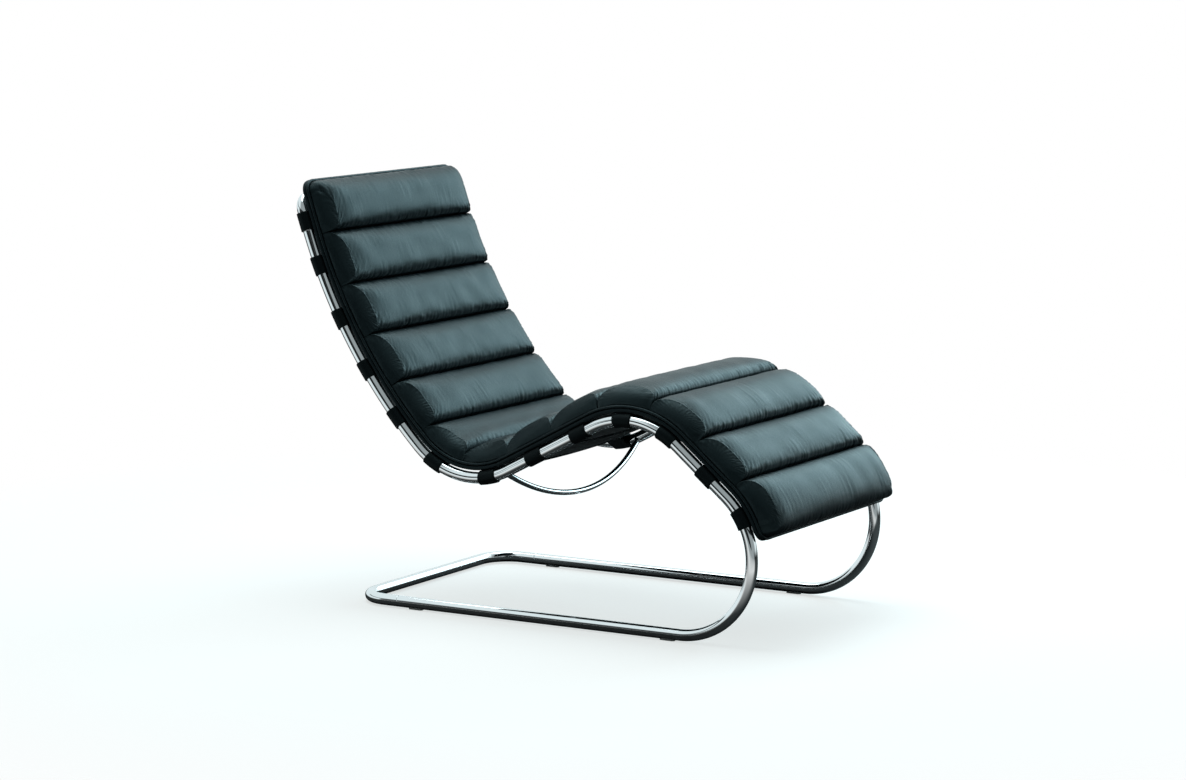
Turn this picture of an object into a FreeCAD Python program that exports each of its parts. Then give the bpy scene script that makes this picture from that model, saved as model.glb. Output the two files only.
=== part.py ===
import FreeCAD, Part
import math
import os

# Cantilever chaise longue: a sprung frame of bent steel tube, thirteen belts strapped
# round its side rails, and one long cushion of thirteen stuffed rolls lying on the belts.
# X runs from the back to the foot end, Y across the chair and Z up, all in millimetres.

# Frame tube
TUBE_DIAMETER = 25.4
TUBE_WALL = 2.0
RAIL_SPACING = 572.0

# Side profile of a rail's centreline, from the floor up
BASE_LENGTH = 824.2
FOOT_RADIUS = 171.4
FOOT_TURN = 140.0
SHIN_LENGTH = 155.9
KNEE_RADIUS = 183.9
KNEE_TURN = 67.3
THIGH_LENGTH = 240.4
SEAT_RADIUS = 198.5
SEAT_TURN = 72.2
BACK_RADIUS = 1192.0
BACK_LENGTH = 548.6

# Cross bars and the sleeves that join them to the rails
REAR_CORNER_RADIUS = 70.0
REAR_LEG = 40.0
HEAD_CORNER_RADIUS = 32.0
HEAD_LEG = 42.0
SLEEVE_WALL = 2.0
SLEEVE_CLEARANCE = 0.2
FLOOR_SLEEVE_LENGTH = 60.0
HEAD_SLEEVE_LENGTH = 36.0

# Bowed spreader under the seat
SPREADER_DIAMETER = 12.7
SPREADER_WALL = 1.6
SPREADER_SAG = 82.0
SPREADER_LEAN = 17.4
SPREADER_SETBACK = 9.2

# Floor glides
GLIDE_STEP = 2.0
GLIDE_LENGTH = 36.0
GLIDE_WIDTH = 12.0
GLIDE_LIP = 2.0
GLIDE_INSET_FRONT = 30.0
GLIDE_INSET_REAR = 45.0
PEG_DIAMETER = 5.4
PEG_REACH = 3.0

# Belts round the rails
BELT_WIDTH = 42.0
BELT_THICKNESS = 3.0
BELT_LAP = 40.0
BELT_CLIMB = 32.0
STUD_SHANK = 3.6
STUD_HEAD_DIAMETER = 8.0
STUD_HEAD_HEIGHT = 1.0
STUD_CAP_DIAMETER = 11.0
STUD_CAP_HEIGHT = 1.5

# Cushion
CUSHION_WIDTH = 585.0
FOOT_DROP = 110.8
HEAD_OVERHANG = 22.0
ROLL_COUNT = 13
BASE_THICKNESS = 10.0
BASE_CORNER_RADIUS = 30.0
PIPING_DIAMETER = 6.4
SEAM_RISE = 15.0
END_SEAM_RISE = 9.0
CROWN_RISE = 50.0
END_CROWN_RISE = 31.0
END_ROUNDING = 46.0
FREE_EDGE_RISE = 5.0
ROLL_FULLNESS = 2.4

# Clearance between pieces that touch on the real chair
SEAT_CLEARANCE = 0.3

# A run shorter than this is traced with its neighbour
MERGE = 1.0

TUBE_RADIUS = TUBE_DIAMETER / 2
BORE_RADIUS = TUBE_RADIUS - TUBE_WALL
AXIS_HEIGHT = TUBE_RADIUS + GLIDE_STEP
HALF_SPACING = RAIL_SPACING / 2
RAIL_START = REAR_CORNER_RADIUS + REAR_LEG
RUNNER_LENGTH = BASE_LENGTH - RAIL_START

# Runs of the rail as arc length and signed radius: left turns are positive, straights zero
RUNS = {
    "runner": (RUNNER_LENGTH, 0.0),
    "foot": (FOOT_RADIUS * math.radians(FOOT_TURN), FOOT_RADIUS),
    "shin": (SHIN_LENGTH, 0.0),
    "knee": (KNEE_RADIUS * math.radians(KNEE_TURN), KNEE_RADIUS),
    "thigh": (THIGH_LENGTH, 0.0),
    "seat": (SEAT_RADIUS * math.radians(SEAT_TURN), -SEAT_RADIUS),
    "back": (BACK_LENGTH, -BACK_RADIUS),
    "head": (HEAD_LEG, 0.0),
}


def stations():
    """Arc length along the rail at which each run starts, by its name."""
    starts = {}
    total = 0.0
    for name, (length, radius) in RUNS.items():
        starts[name] = total
        total += length
    return starts


# Levels above the rail's centreline, on the cushion's side
BELT_INNER = TUBE_RADIUS + SEAT_CLEARANCE
BELT_OUTER = BELT_INNER + BELT_THICKNESS
BASE_UNDER = BELT_OUTER + SEAT_CLEARANCE
BASE_TOP = BASE_UNDER + BASE_THICKNESS
ROLL_UNDER = BASE_TOP + SEAT_CLEARANCE
PIPING_LEVEL = ROLL_UNDER + PIPING_DIAMETER / 2

# Ends of the rail and of the cushion, as arc length along the rail
RAIL_END = stations()["head"]
HEAD_START = RAIL_END + HEAD_LEG
CUSHION_FOOT = stations()["shin"] - FOOT_DROP
CUSHION_HEAD = HEAD_START + HEAD_CORNER_RADIUS + TUBE_RADIUS + HEAD_OVERHANG


def vector(x, y, z):
    """Shorthand for a point or direction."""
    return FreeCAD.Vector(x, y, z)


def walk(x, z, heading, length, radius):
    """Move along one run and return the new place and heading."""
    if radius == 0.0:
        return x + length * math.cos(heading), z + length * math.sin(heading), heading
    ahead = heading + length / radius
    x += radius * (math.sin(ahead) - math.sin(heading))
    z += radius * (math.cos(heading) - math.cos(ahead))
    return x, z, ahead


def pose(s):
    """Place and heading of the rail's centreline at arc length s, straight past its end."""
    x, z, heading = RAIL_START, AXIS_HEIGHT, 0.0
    for length, radius in RUNS.values():
        step = min(s, length)
        x, z, heading = walk(x, z, heading, step, radius)
        s -= step
        if s <= 0.0:
            return x, z, heading
    return x + s * math.cos(heading), z + s * math.sin(heading), heading


def point(s, level, y):
    """Point at arc length s, raised to a level on the cushion's side, at y across the chair."""
    x, z, heading = pose(s)
    return vector(x + level * math.sin(heading), y, z - level * math.cos(heading))


def tangent(s):
    """Direction of the rail at arc length s."""
    heading = pose(s)[2]
    return vector(math.cos(heading), 0, math.sin(heading))


def normal(s):
    """Direction from the rail to the cushion at arc length s."""
    heading = pose(s)[2]
    return vector(math.sin(heading), 0, -math.cos(heading))


def breaks(start, end):
    """Arc lengths that split a stretch of the rail where one run meets the next."""
    marks = [mark for mark in stations().values() if start + MERGE < mark < end - MERGE]
    return [start] + marks + [end]


def trace(start, end, level, y):
    """Edges that follow the rail from start to end at a level, one for each run."""
    marks = breaks(start, end)
    edges = []
    for here, there in zip(marks, marks[1:]):
        a = point(here, level, y)
        b = point((here + there) / 2, level, y)
        c = point(there, level, y)
        if (b - a).cross(c - a).Length < 1e-6 * (c - a).Length:
            edges.append(Part.LineSegment(a, c).toShape())
        else:
            edges.append(Part.Arc(a, b, c).toShape())
    return edges


def advance(start, distance, level):
    """Arc length reached from start by going a distance along the curve at a level."""
    here = start
    for name, (length, radius) in RUNS.items():
        finish = stations()[name] + length
        if finish <= here:
            continue
        stretch = 1.0 if radius == 0.0 else (radius + level) / radius
        if distance <= (finish - here) * stretch:
            return here + distance / stretch
        distance -= (finish - here) * stretch
        here = finish
    return here + distance


def reach(start, end, level):
    """Length of the curve at a level between two arc lengths of the rail."""
    total = 0.0
    marks = breaks(start, end)
    for here, there in zip(marks, marks[1:]):
        middle = (here + there) / 2
        radius = 0.0
        for name, (length, bend) in RUNS.items():
            if stations()[name] <= middle < stations()[name] + length:
                radius = bend
        stretch = 1.0 if radius == 0.0 else (radius + level) / radius
        total += (there - here) * stretch
    return total


def ring(centre, axis, outer, inner):
    """Flat ring, or a disc where the inner radius is zero."""
    face = Part.Face(Part.Wire(Part.makeCircle(outer, centre, axis)))
    if inner > 0.0:
        face = face.cut(Part.Face(Part.Wire(Part.makeCircle(inner, centre, axis)))).Faces[0]
    return face


def sweep(edges, outer, inner=0.0):
    """Round bar or tube along a path of lines and arcs."""
    first = edges[0]
    begin = first.valueAt(first.FirstParameter)
    along = first.tangentAt(first.FirstParameter)
    return Part.Wire(edges).makePipe(ring(begin, along, outer, inner))


def arc_between(start, corner, end):
    """Quarter arc that rounds a square corner between two points."""
    centre = start + end - corner
    middle = centre + (corner - centre) * (1 / math.sqrt(2))
    return Part.Arc(start, middle, end).toShape()


def cross_path(bend, along, radius, half_width):
    """Path across the chair: a rounded corner, a straight run and the other corner."""
    side = vector(0, half_width, 0)
    inset = vector(0, half_width - radius, 0)
    far = bend + along * radius
    return [
        arc_between(bend - side, far - side, far - inset),
        Part.LineSegment(far - inset, far + inset).toShape(),
        arc_between(far + inset, far + side, bend + side),
    ]


def bar_path(joint, along, leg, radius, half_width):
    """Path of a cross bar: a straight leg from each rail and the run between them."""
    side = vector(0, half_width, 0)
    bend = joint + along * leg
    near_leg = Part.LineSegment(joint - side, bend - side).toShape()
    far_leg = Part.LineSegment(bend + side, joint + side).toShape()
    return [near_leg] + cross_path(bend, along, radius, half_width) + [far_leg]


def peg_holes(y):
    """Cutters for the glide pegs through the underside of a floor runner."""
    return [
        Part.makeCylinder(PEG_DIAMETER / 2 + SEAT_CLEARANCE, AXIS_HEIGHT, vector(x, y, 0))
        for x in glide_places()
    ]


def glide_places():
    """Distances of the glides from the rear bar's centreline."""
    return [RAIL_START + GLIDE_INSET_REAR, BASE_LENGTH - GLIDE_INSET_FRONT]


def side_rail(y):
    """One side of the frame: runner, foot bend, shin, knee, thigh, seat and back."""
    rail = sweep(trace(0.0, RAIL_END, 0.0, y), TUBE_RADIUS, BORE_RADIUS)
    for hole in peg_holes(y):
        rail = rail.cut(hole)
    return rail


def rear_floor_bar():
    """Cross bar on the floor behind the seat, with its two rounded corners."""
    joint = point(0.0, 0.0, 0.0)
    path = bar_path(joint, vector(-1, 0, 0), REAR_LEG, REAR_CORNER_RADIUS, HALF_SPACING)
    return sweep(path, TUBE_RADIUS, BORE_RADIUS)


def top_cross_bar():
    """Cross bar at the top of the back, with its two rounded corners."""
    joint = point(RAIL_END, 0.0, 0.0)
    path = bar_path(joint, tangent(RAIL_END), HEAD_LEG, HEAD_CORNER_RADIUS, HALF_SPACING)
    return sweep(path, TUBE_RADIUS, BORE_RADIUS)


def sleeve(s, y, length):
    """Short tube inside the joint between a rail and a cross bar."""
    outer = BORE_RADIUS - SLEEVE_CLEARANCE
    start = point(s, 0.0, y) - tangent(s) * (length / 2)
    pipe = Part.makeCylinder(outer, length, start, tangent(s))
    return pipe.cut(Part.makeCylinder(outer - SLEEVE_WALL, length, start, tangent(s)))


def seat_spreader():
    """Thin bowed tube that holds the rails apart below the seat."""
    s = stations()["seat"] + SPREADER_SETBACK
    lean = math.radians(SPREADER_LEAN)
    sag = vector(math.sin(lean), 0, -math.cos(lean)) * SPREADER_SAG
    near = point(s, 0.0, -HALF_SPACING)
    far = point(s, 0.0, HALF_SPACING)
    low = point(s, 0.0, 0.0) + sag
    radius = SPREADER_DIAMETER / 2
    bow = sweep([Part.Arc(near, low, far).toShape()], radius, radius - SPREADER_WALL)
    for y in (-HALF_SPACING, HALF_SPACING):
        around = trace(s - TUBE_DIAMETER * 2, s + TUBE_DIAMETER * 2, 0.0, y)
        bow = bow.cut(sweep(around, TUBE_RADIUS + SEAT_CLEARANCE))
    return max(bow.Solids, key=lambda solid: solid.Volume)


def floor_glide(x, y):
    """Low pad under a runner, hollowed to the tube and held by a peg through its wall."""
    half = GLIDE_LENGTH / 2 - GLIDE_WIDTH / 2
    width = GLIDE_WIDTH / 2
    height = GLIDE_STEP + GLIDE_LIP
    corners = [vector(x - half, y - width, 0), vector(x + half, y - width, 0)]
    corners += [vector(x + half, y + width, 0), vector(x - half, y + width, 0)]
    outline = Part.Wire([
        Part.LineSegment(corners[0], corners[1]).toShape(),
        Part.Arc(corners[1], vector(x + half + width, y, 0), corners[2]).toShape(),
        Part.LineSegment(corners[2], corners[3]).toShape(),
        Part.Arc(corners[3], vector(x - half - width, y, 0), corners[0]).toShape(),
    ])
    pad = Part.Face(outline).extrude(vector(0, 0, height))
    bed_start = vector(x - GLIDE_LENGTH, y, AXIS_HEIGHT)
    bed = Part.makeCylinder(TUBE_RADIUS + SEAT_CLEARANCE, GLIDE_LENGTH * 2, bed_start, vector(1, 0, 0))
    pad = pad.cut(bed)
    peg_top = AXIS_HEIGHT - BORE_RADIUS + PEG_REACH
    start = GLIDE_STEP / 2
    peg = Part.makeCylinder(PEG_DIAMETER / 2, peg_top - start, vector(x, y, start))
    return pad.fuse(peg).removeSplitter()


def lap_start(radius, level):
    """Distance from a rail's middle at which a belt's face has climbed to its level in the lap."""
    climb = math.radians(BELT_CLIMB)
    return (radius + level * math.cos(climb)) / math.sin(climb)


def lap_levels():
    """Levels of the upper and lower faces of a belt's end, lapped under its own top run."""
    upper = BELT_INNER - SEAT_CLEARANCE
    return upper, upper - BELT_THICKNESS


def lap_tip():
    """Distance from a rail's middle to the end of the belt's lap."""
    return lap_start(BELT_INNER, lap_levels()[0]) + BELT_LAP


def belt_hook(s, side, radius, level):
    """Edges of one face of a belt at one rail, from the top of the rail to the tip of the lap."""
    climb = math.radians(BELT_CLIMB)
    middle = side * HALF_SPACING
    top = point(s, radius, middle)
    outside = point(s, 0.0, middle + side * radius)
    below = point(s, -radius * math.cos(climb), middle - side * radius * math.sin(climb))
    corner = point(s, level, middle - side * lap_start(radius, level))
    tip = point(s, level, middle - side * lap_tip())
    return [
        Part.Arc(top, outside, below).toShape(),
        Part.LineSegment(below, corner).toShape(),
        Part.LineSegment(corner, tip).toShape(),
    ]


def belt_outline(s):
    """Section of a belt across the chair: over and round both rails, each end lapped inside."""
    upper, lower = lap_levels()
    edges = []
    for radius, level in ((BELT_INNER, upper), (BELT_OUTER, lower)):
        near = point(s, radius, -HALF_SPACING)
        far = point(s, radius, HALF_SPACING)
        edges.append(Part.LineSegment(near, far).toShape())
        for side in (-1, 1):
            edges += belt_hook(s, side, radius, level)
    for side in (-1, 1):
        y = side * (HALF_SPACING - lap_tip())
        edges.append(Part.LineSegment(point(s, upper, y), point(s, lower, y)).toShape())
    return Part.Wire(Part.sortEdges(edges)[0])


def stud_places():
    """Places across the chair of a belt's two studs, each in the middle of a lap."""
    reach_in = HALF_SPACING - lap_tip() + BELT_LAP / 2
    return -reach_in, reach_in


def belt(s):
    """Belt drawn over both rails, its ends brought round them and closed by a stud each."""
    start = s - BELT_WIDTH / 2
    band = Part.Wire(trace(start, s + BELT_WIDTH / 2, 0.0, 0.0)).makePipe(Part.Face(belt_outline(start)))
    pocket = STUD_HEAD_HEIGHT + 2 * SEAT_CLEARANCE
    for y in stud_places():
        bore = Part.makeCylinder(STUD_SHANK / 2 + SEAT_CLEARANCE, BELT_OUTER, point(s, 0.0, y), normal(s))
        sink = Part.makeCylinder(
            STUD_HEAD_DIAMETER / 2 + SEAT_CLEARANCE, BELT_OUTER, point(s, BELT_OUTER - pocket, y), normal(s)
        )
        band = band.cut(bore).cut(sink)
    return band


def belt_studs(s):
    """The two studs of a belt, each with its head sunk in the top run and a cap below the lap."""
    head = BELT_OUTER - SEAT_CLEARANCE - STUD_HEAD_HEIGHT
    cap = lap_levels()[1] - SEAT_CLEARANCE - STUD_CAP_HEIGHT
    studs = []
    for y in stud_places():
        shank = Part.makeCylinder(STUD_SHANK / 2, head - cap, point(s, cap, y), normal(s))
        top = Part.makeCylinder(STUD_HEAD_DIAMETER / 2, STUD_HEAD_HEIGHT, point(s, head, y), normal(s))
        foot = Part.makeCylinder(STUD_CAP_DIAMETER / 2, STUD_CAP_HEIGHT, point(s, cap, y), normal(s))
        studs.append(shank.fuse([top, foot]).removeSplitter())
    return studs


def cushion_base():
    """Thin panel under the rolls, bent to the rails and rounded at its corners."""
    half = CUSHION_WIDTH / 2
    under = trace(CUSHION_FOOT, CUSHION_HEAD, BASE_UNDER, -half)
    above = trace(CUSHION_FOOT, CUSHION_HEAD, BASE_TOP, -half)
    foot, head = [
        Part.LineSegment(point(s, BASE_UNDER, -half), point(s, BASE_TOP, -half)).toShape()
        for s in (CUSHION_FOOT, CUSHION_HEAD)
    ]
    outline = Part.Wire(under + [head] + above[::-1] + [foot])
    panel = Part.Face(outline).extrude(vector(0, CUSHION_WIDTH, 0))
    corners = [
        edge for edge in panel.Edges
        if abs(edge.Length - BASE_THICKNESS) < 0.01 and abs(edge.tangentAt(edge.FirstParameter).y) < 0.01
    ]
    return panel.makeFillet(BASE_CORNER_RADIUS, corners)


def edge_piping():
    """Piping cord round the edge of the cushion, between the rolls and the base panel."""
    cord = PIPING_DIAMETER / 2
    y_half = CUSHION_WIDTH / 2 - cord
    radius = BASE_CORNER_RADIUS - cord
    foot = advance(CUSHION_FOOT, BASE_CORNER_RADIUS, PIPING_LEVEL)
    head = CUSHION_HEAD - BASE_CORNER_RADIUS
    foot_end = cross_path(point(foot, PIPING_LEVEL, 0.0), tangent(foot) * -1, radius, y_half)
    head_end = cross_path(point(head, PIPING_LEVEL, 0.0), tangent(head), radius, y_half)
    near_side = sweep(trace(foot, head, PIPING_LEVEL, -y_half), cord)
    far_side = sweep(trace(foot, head, PIPING_LEVEL, y_half), cord)
    loop = near_side.fuse([far_side, sweep(foot_end, cord), sweep(head_end, cord)])
    return loop.removeSplitter()


def seams():
    """Arc lengths of the seams, foot end first, evenly spaced where they meet the base panel."""
    pitch = reach(CUSHION_FOOT, CUSHION_HEAD, BASE_TOP) / ROLL_COUNT
    return [advance(CUSHION_FOOT, pitch * number, BASE_TOP) for number in range(ROLL_COUNT + 1)]


def swell(fraction):
    """Share of a roll's rise reached at a fraction of its width, full and round."""
    return (1 - abs(1 - 2 * fraction) ** ROLL_FULLNESS) ** (1 / ROLL_FULLNESS)


def roll_section(first, last, first_seam, last_seam, crown, y):
    """Section of a roll at y: bent to the base panel below and crowned between two seams."""
    def skin(fraction):
        s = first + (last - first) * fraction
        seam = first_seam + (last_seam - first_seam) * fraction
        return point(s, seam + (crown - seam) * swell(fraction), y)

    edges = trace(first, last, ROLL_UNDER, y)
    edges.append(Part.LineSegment(point(last, ROLL_UNDER, y), skin(1.0)).toShape())
    for start, middle, end in ((1.0, 0.96, 0.84), (0.84, 0.5, 0.16), (0.16, 0.04, 0.0)):
        edges.append(Part.Arc(skin(start), skin(middle), skin(end)).toShape())
    edges.append(Part.LineSegment(skin(0.0), point(first, ROLL_UNDER, y)).toShape())
    return Part.Wire(edges)


def growth(depth):
    """Share of full height reached at a depth from the side of the cushion."""
    return math.sqrt(1 - (1 - min(depth / END_ROUNDING, 1.0)) ** 2)


def corner_inset(depth, radius):
    """How far a rounded plan corner stands back from the end at a depth from the side."""
    if depth >= radius:
        return 0.0
    return radius - math.sqrt(radius ** 2 - (radius - depth) ** 2)


def cushion_roll(first, last, at_foot, at_head):
    """One stuffed roll, drawn in at its two ends and at its seams."""
    edge = PIPING_DIAMETER + SEAT_CLEARANCE
    half = CUSHION_WIDTH / 2 - edge
    corner = BASE_CORNER_RADIUS - edge
    depths = [END_ROUNDING * share for share in (0.0, 0.1, 0.3, 0.6, 1.0, 2.0)]
    places = [(depth - half, depth) for depth in depths] + [(0.0, half)]
    places += [(half - depth, depth) for depth in reversed(depths)]
    sections = []
    for y, depth in places:
        full = growth(depth)
        seam = ROLL_UNDER + END_SEAM_RISE + (SEAM_RISE - END_SEAM_RISE) * full
        crown = ROLL_UNDER + END_CROWN_RISE + (CROWN_RISE - END_CROWN_RISE) * full
        start, finish = first + SEAT_CLEARANCE, last - SEAT_CLEARANCE
        start_seam, finish_seam = seam, seam
        if at_foot:
            start = advance(first, edge + corner_inset(depth, corner), BASE_TOP)
            start_seam = ROLL_UNDER + FREE_EDGE_RISE
        if at_head:
            finish = last - edge - corner_inset(depth, corner)
            finish_seam = ROLL_UNDER + FREE_EDGE_RISE
        sections.append(roll_section(start, finish, start_seam, finish_seam, crown, y))
    return Part.makeLoft(sections, True, False)


def belt_places():
    """Arc lengths of the belts, each under the middle of a roll but clear of the top corner."""
    marks = seams()
    middles = [advance(a, reach(a, b, BASE_TOP) / 2, BASE_TOP) for a, b in zip(marks, marks[1:])]
    return [min(middle, HEAD_START - BELT_WIDTH / 2) for middle in middles]


def frame_pieces():
    """Tubes, sleeves, spreader and glides of the frame, by name."""
    pieces = {}
    for side, y in (("near", -HALF_SPACING), ("far", HALF_SPACING)):
        pieces["side_rail_" + side] = side_rail(y)
        pieces["floor_sleeve_" + side] = sleeve(0.0, y, FLOOR_SLEEVE_LENGTH)
        pieces["head_sleeve_" + side] = sleeve(RAIL_END, y, HEAD_SLEEVE_LENGTH)
        for end, x in zip(("rear", "front"), glide_places()):
            pieces["floor_glide_" + end + "_" + side] = floor_glide(x, y)
    pieces["rear_floor_bar"] = rear_floor_bar()
    pieces["top_cross_bar"] = top_cross_bar()
    pieces["seat_spreader"] = seat_spreader()
    return pieces


def belt_pieces():
    """Belts numbered from the top of the back, and all their studs together."""
    pieces = {}
    studs = []
    for index, s in enumerate(belt_places()):
        pieces["belt_%02d" % (ROLL_COUNT - index)] = belt(s)
        studs += belt_studs(s)
    pieces["belt_studs"] = Part.makeCompound(studs)
    return pieces


def cushion_pieces():
    """Base panel, edge piping and the rolls numbered from the top of the back."""
    pieces = {"cushion_base": cushion_base(), "edge_piping": edge_piping()}
    marks = seams()
    for index, (first, last) in enumerate(zip(marks, marks[1:])):
        name = "cushion_roll_%02d" % (ROLL_COUNT - index)
        pieces[name] = cushion_roll(first, last, index == 0, index == ROLL_COUNT - 1)
    return pieces


def main():
    """Build every piece, put the origin under the middle of the chair and save the pieces."""
    pieces = frame_pieces()
    pieces.update(belt_pieces())
    pieces.update(cushion_pieces())
    whole = FreeCAD.BoundBox()
    for shape in pieces.values():
        whole.add(shape.optimalBoundingBox(False))
    origin = vector(-(whole.XMin + whole.XMax) / 2, -(whole.YMin + whole.YMax) / 2, -whole.ZMin)
    os.makedirs("parts", exist_ok=True)
    for name, shape in pieces.items():
        shape.translate(origin)
        shape.exportStep("parts/" + name + ".step")
        print(name, len(shape.Solids), shape.isValid(), round(shape.Volume / 1000, 1), "cm3")
    print("size", round(whole.XLength, 1), round(whole.YLength, 1), round(whole.ZLength, 1))
    print("origin moved by", round(origin.x, 2), round(origin.y, 2), round(origin.z, 2))
    print("belts at", [round(s, 1) for s in belt_places()])
    print("seams at", [round(s, 1) for s in seams()])


main()
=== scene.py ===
"""Dressed model of a cantilever chaise longue in a plain white studio.

The frame is bent chrome tube, thirteen leather belts are strapped round its side rails, and a long
cushion of thirteen stuffed leather rolls lies on the belts. X runs from the back to the foot end,
Y across the chair and Z up. Every new piece is a surface worked out as one grid of points.
"""

import logging
import math
from collections.abc import Iterable
from dataclasses import dataclass
from enum import Enum
from functools import cached_property

import bpy
import numpy as np
from mathutils import Matrix, Vector


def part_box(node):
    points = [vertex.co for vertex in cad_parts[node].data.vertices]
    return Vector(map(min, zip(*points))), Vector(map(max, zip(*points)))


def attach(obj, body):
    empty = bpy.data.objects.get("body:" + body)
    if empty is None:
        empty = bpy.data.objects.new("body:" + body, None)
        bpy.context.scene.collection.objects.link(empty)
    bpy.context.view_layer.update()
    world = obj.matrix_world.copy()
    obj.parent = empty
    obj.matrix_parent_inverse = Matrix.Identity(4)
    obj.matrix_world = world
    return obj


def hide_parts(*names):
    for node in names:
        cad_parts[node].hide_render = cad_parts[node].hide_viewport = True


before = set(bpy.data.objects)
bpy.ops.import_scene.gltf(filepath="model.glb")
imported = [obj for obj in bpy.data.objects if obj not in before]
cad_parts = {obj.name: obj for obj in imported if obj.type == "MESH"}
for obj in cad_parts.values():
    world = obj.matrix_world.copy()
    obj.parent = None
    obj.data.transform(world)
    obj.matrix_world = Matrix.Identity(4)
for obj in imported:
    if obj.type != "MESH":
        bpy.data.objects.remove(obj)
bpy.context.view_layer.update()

MM = 0.001
log = logging.getLogger("chaise")


class Body(Enum):
    """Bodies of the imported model. The chair has no moving part, so there is one."""

    CHAIR = "root"


class Side(Enum):
    """The two sides of the chair and the sign that each has across it."""

    NEAR = -1.0
    FAR = 1.0

    @property
    def label(self) -> str:
        """Name of the side as the nodes spell it."""
        return self.name.lower()


@dataclass(frozen=True)
class Chain:
    """Line of arcs in a plane: each run is an arc length and a signed curvature, left turns positive.

    The chord of an arc is its length times sin(t) / t, where t is half its turn, and it points half
    the turn past the heading at which the arc starts. A straight run is the case of no turn.
    """

    start: tuple[float, float, float]
    runs: tuple[tuple[float, float], ...]

    @staticmethod
    def _walk(p: np.ndarray, q: np.ndarray, heading: np.ndarray, step: np.ndarray, bend: np.ndarray) -> tuple:
        """Place and heading after a step along an arc of curvature bend from p, q at a heading."""
        half_turn = step * bend / 2
        chord = step * np.sinc(half_turn / np.pi)
        way = heading + half_turn
        return p + chord * np.cos(way), q + chord * np.sin(way), heading + 2 * half_turn

    @cached_property
    def marks(self) -> np.ndarray:
        """Arc length at which each run starts, and at last the whole length."""
        return np.concatenate([[0.0], np.cumsum([length for length, bend in self.runs])])

    @cached_property
    def starts(self) -> np.ndarray:
        """Place and heading at the start of each run."""
        here = self.start
        found = []
        for length, bend in self.runs:
            found.append(here)
            here = tuple(float(value) for value in self._walk(*here, length, bend))
        return np.array(found)

    @property
    def length(self) -> float:
        """Length of the whole line."""
        return float(self.marks[-1])

    def pose(self, s: np.ndarray) -> tuple[np.ndarray, np.ndarray, np.ndarray]:
        """Place and heading at arc lengths s; the first and last runs go on past the ends."""
        s = np.asarray(s, dtype=float)
        run = np.clip(np.searchsorted(self.marks, s, side="right") - 1, 0, len(self.runs) - 1)
        p, q, heading = np.moveaxis(self.starts[run], -1, 0)
        bend = np.array([bend for length, bend in self.runs])[run]
        return self._walk(p, q, heading, s - self.marks[run], bend)

    def spread(self, pitch: float) -> np.ndarray:
        """Arc lengths about a pitch apart that include both ends and every start of a run."""
        pieces = [
            np.linspace(a, b, max(2, round((b - a) / pitch) + 1))[:-1]
            for a, b in zip(self.marks, self.marks[1:])
        ]
        return np.concatenate(pieces + [[self.length]])


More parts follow.
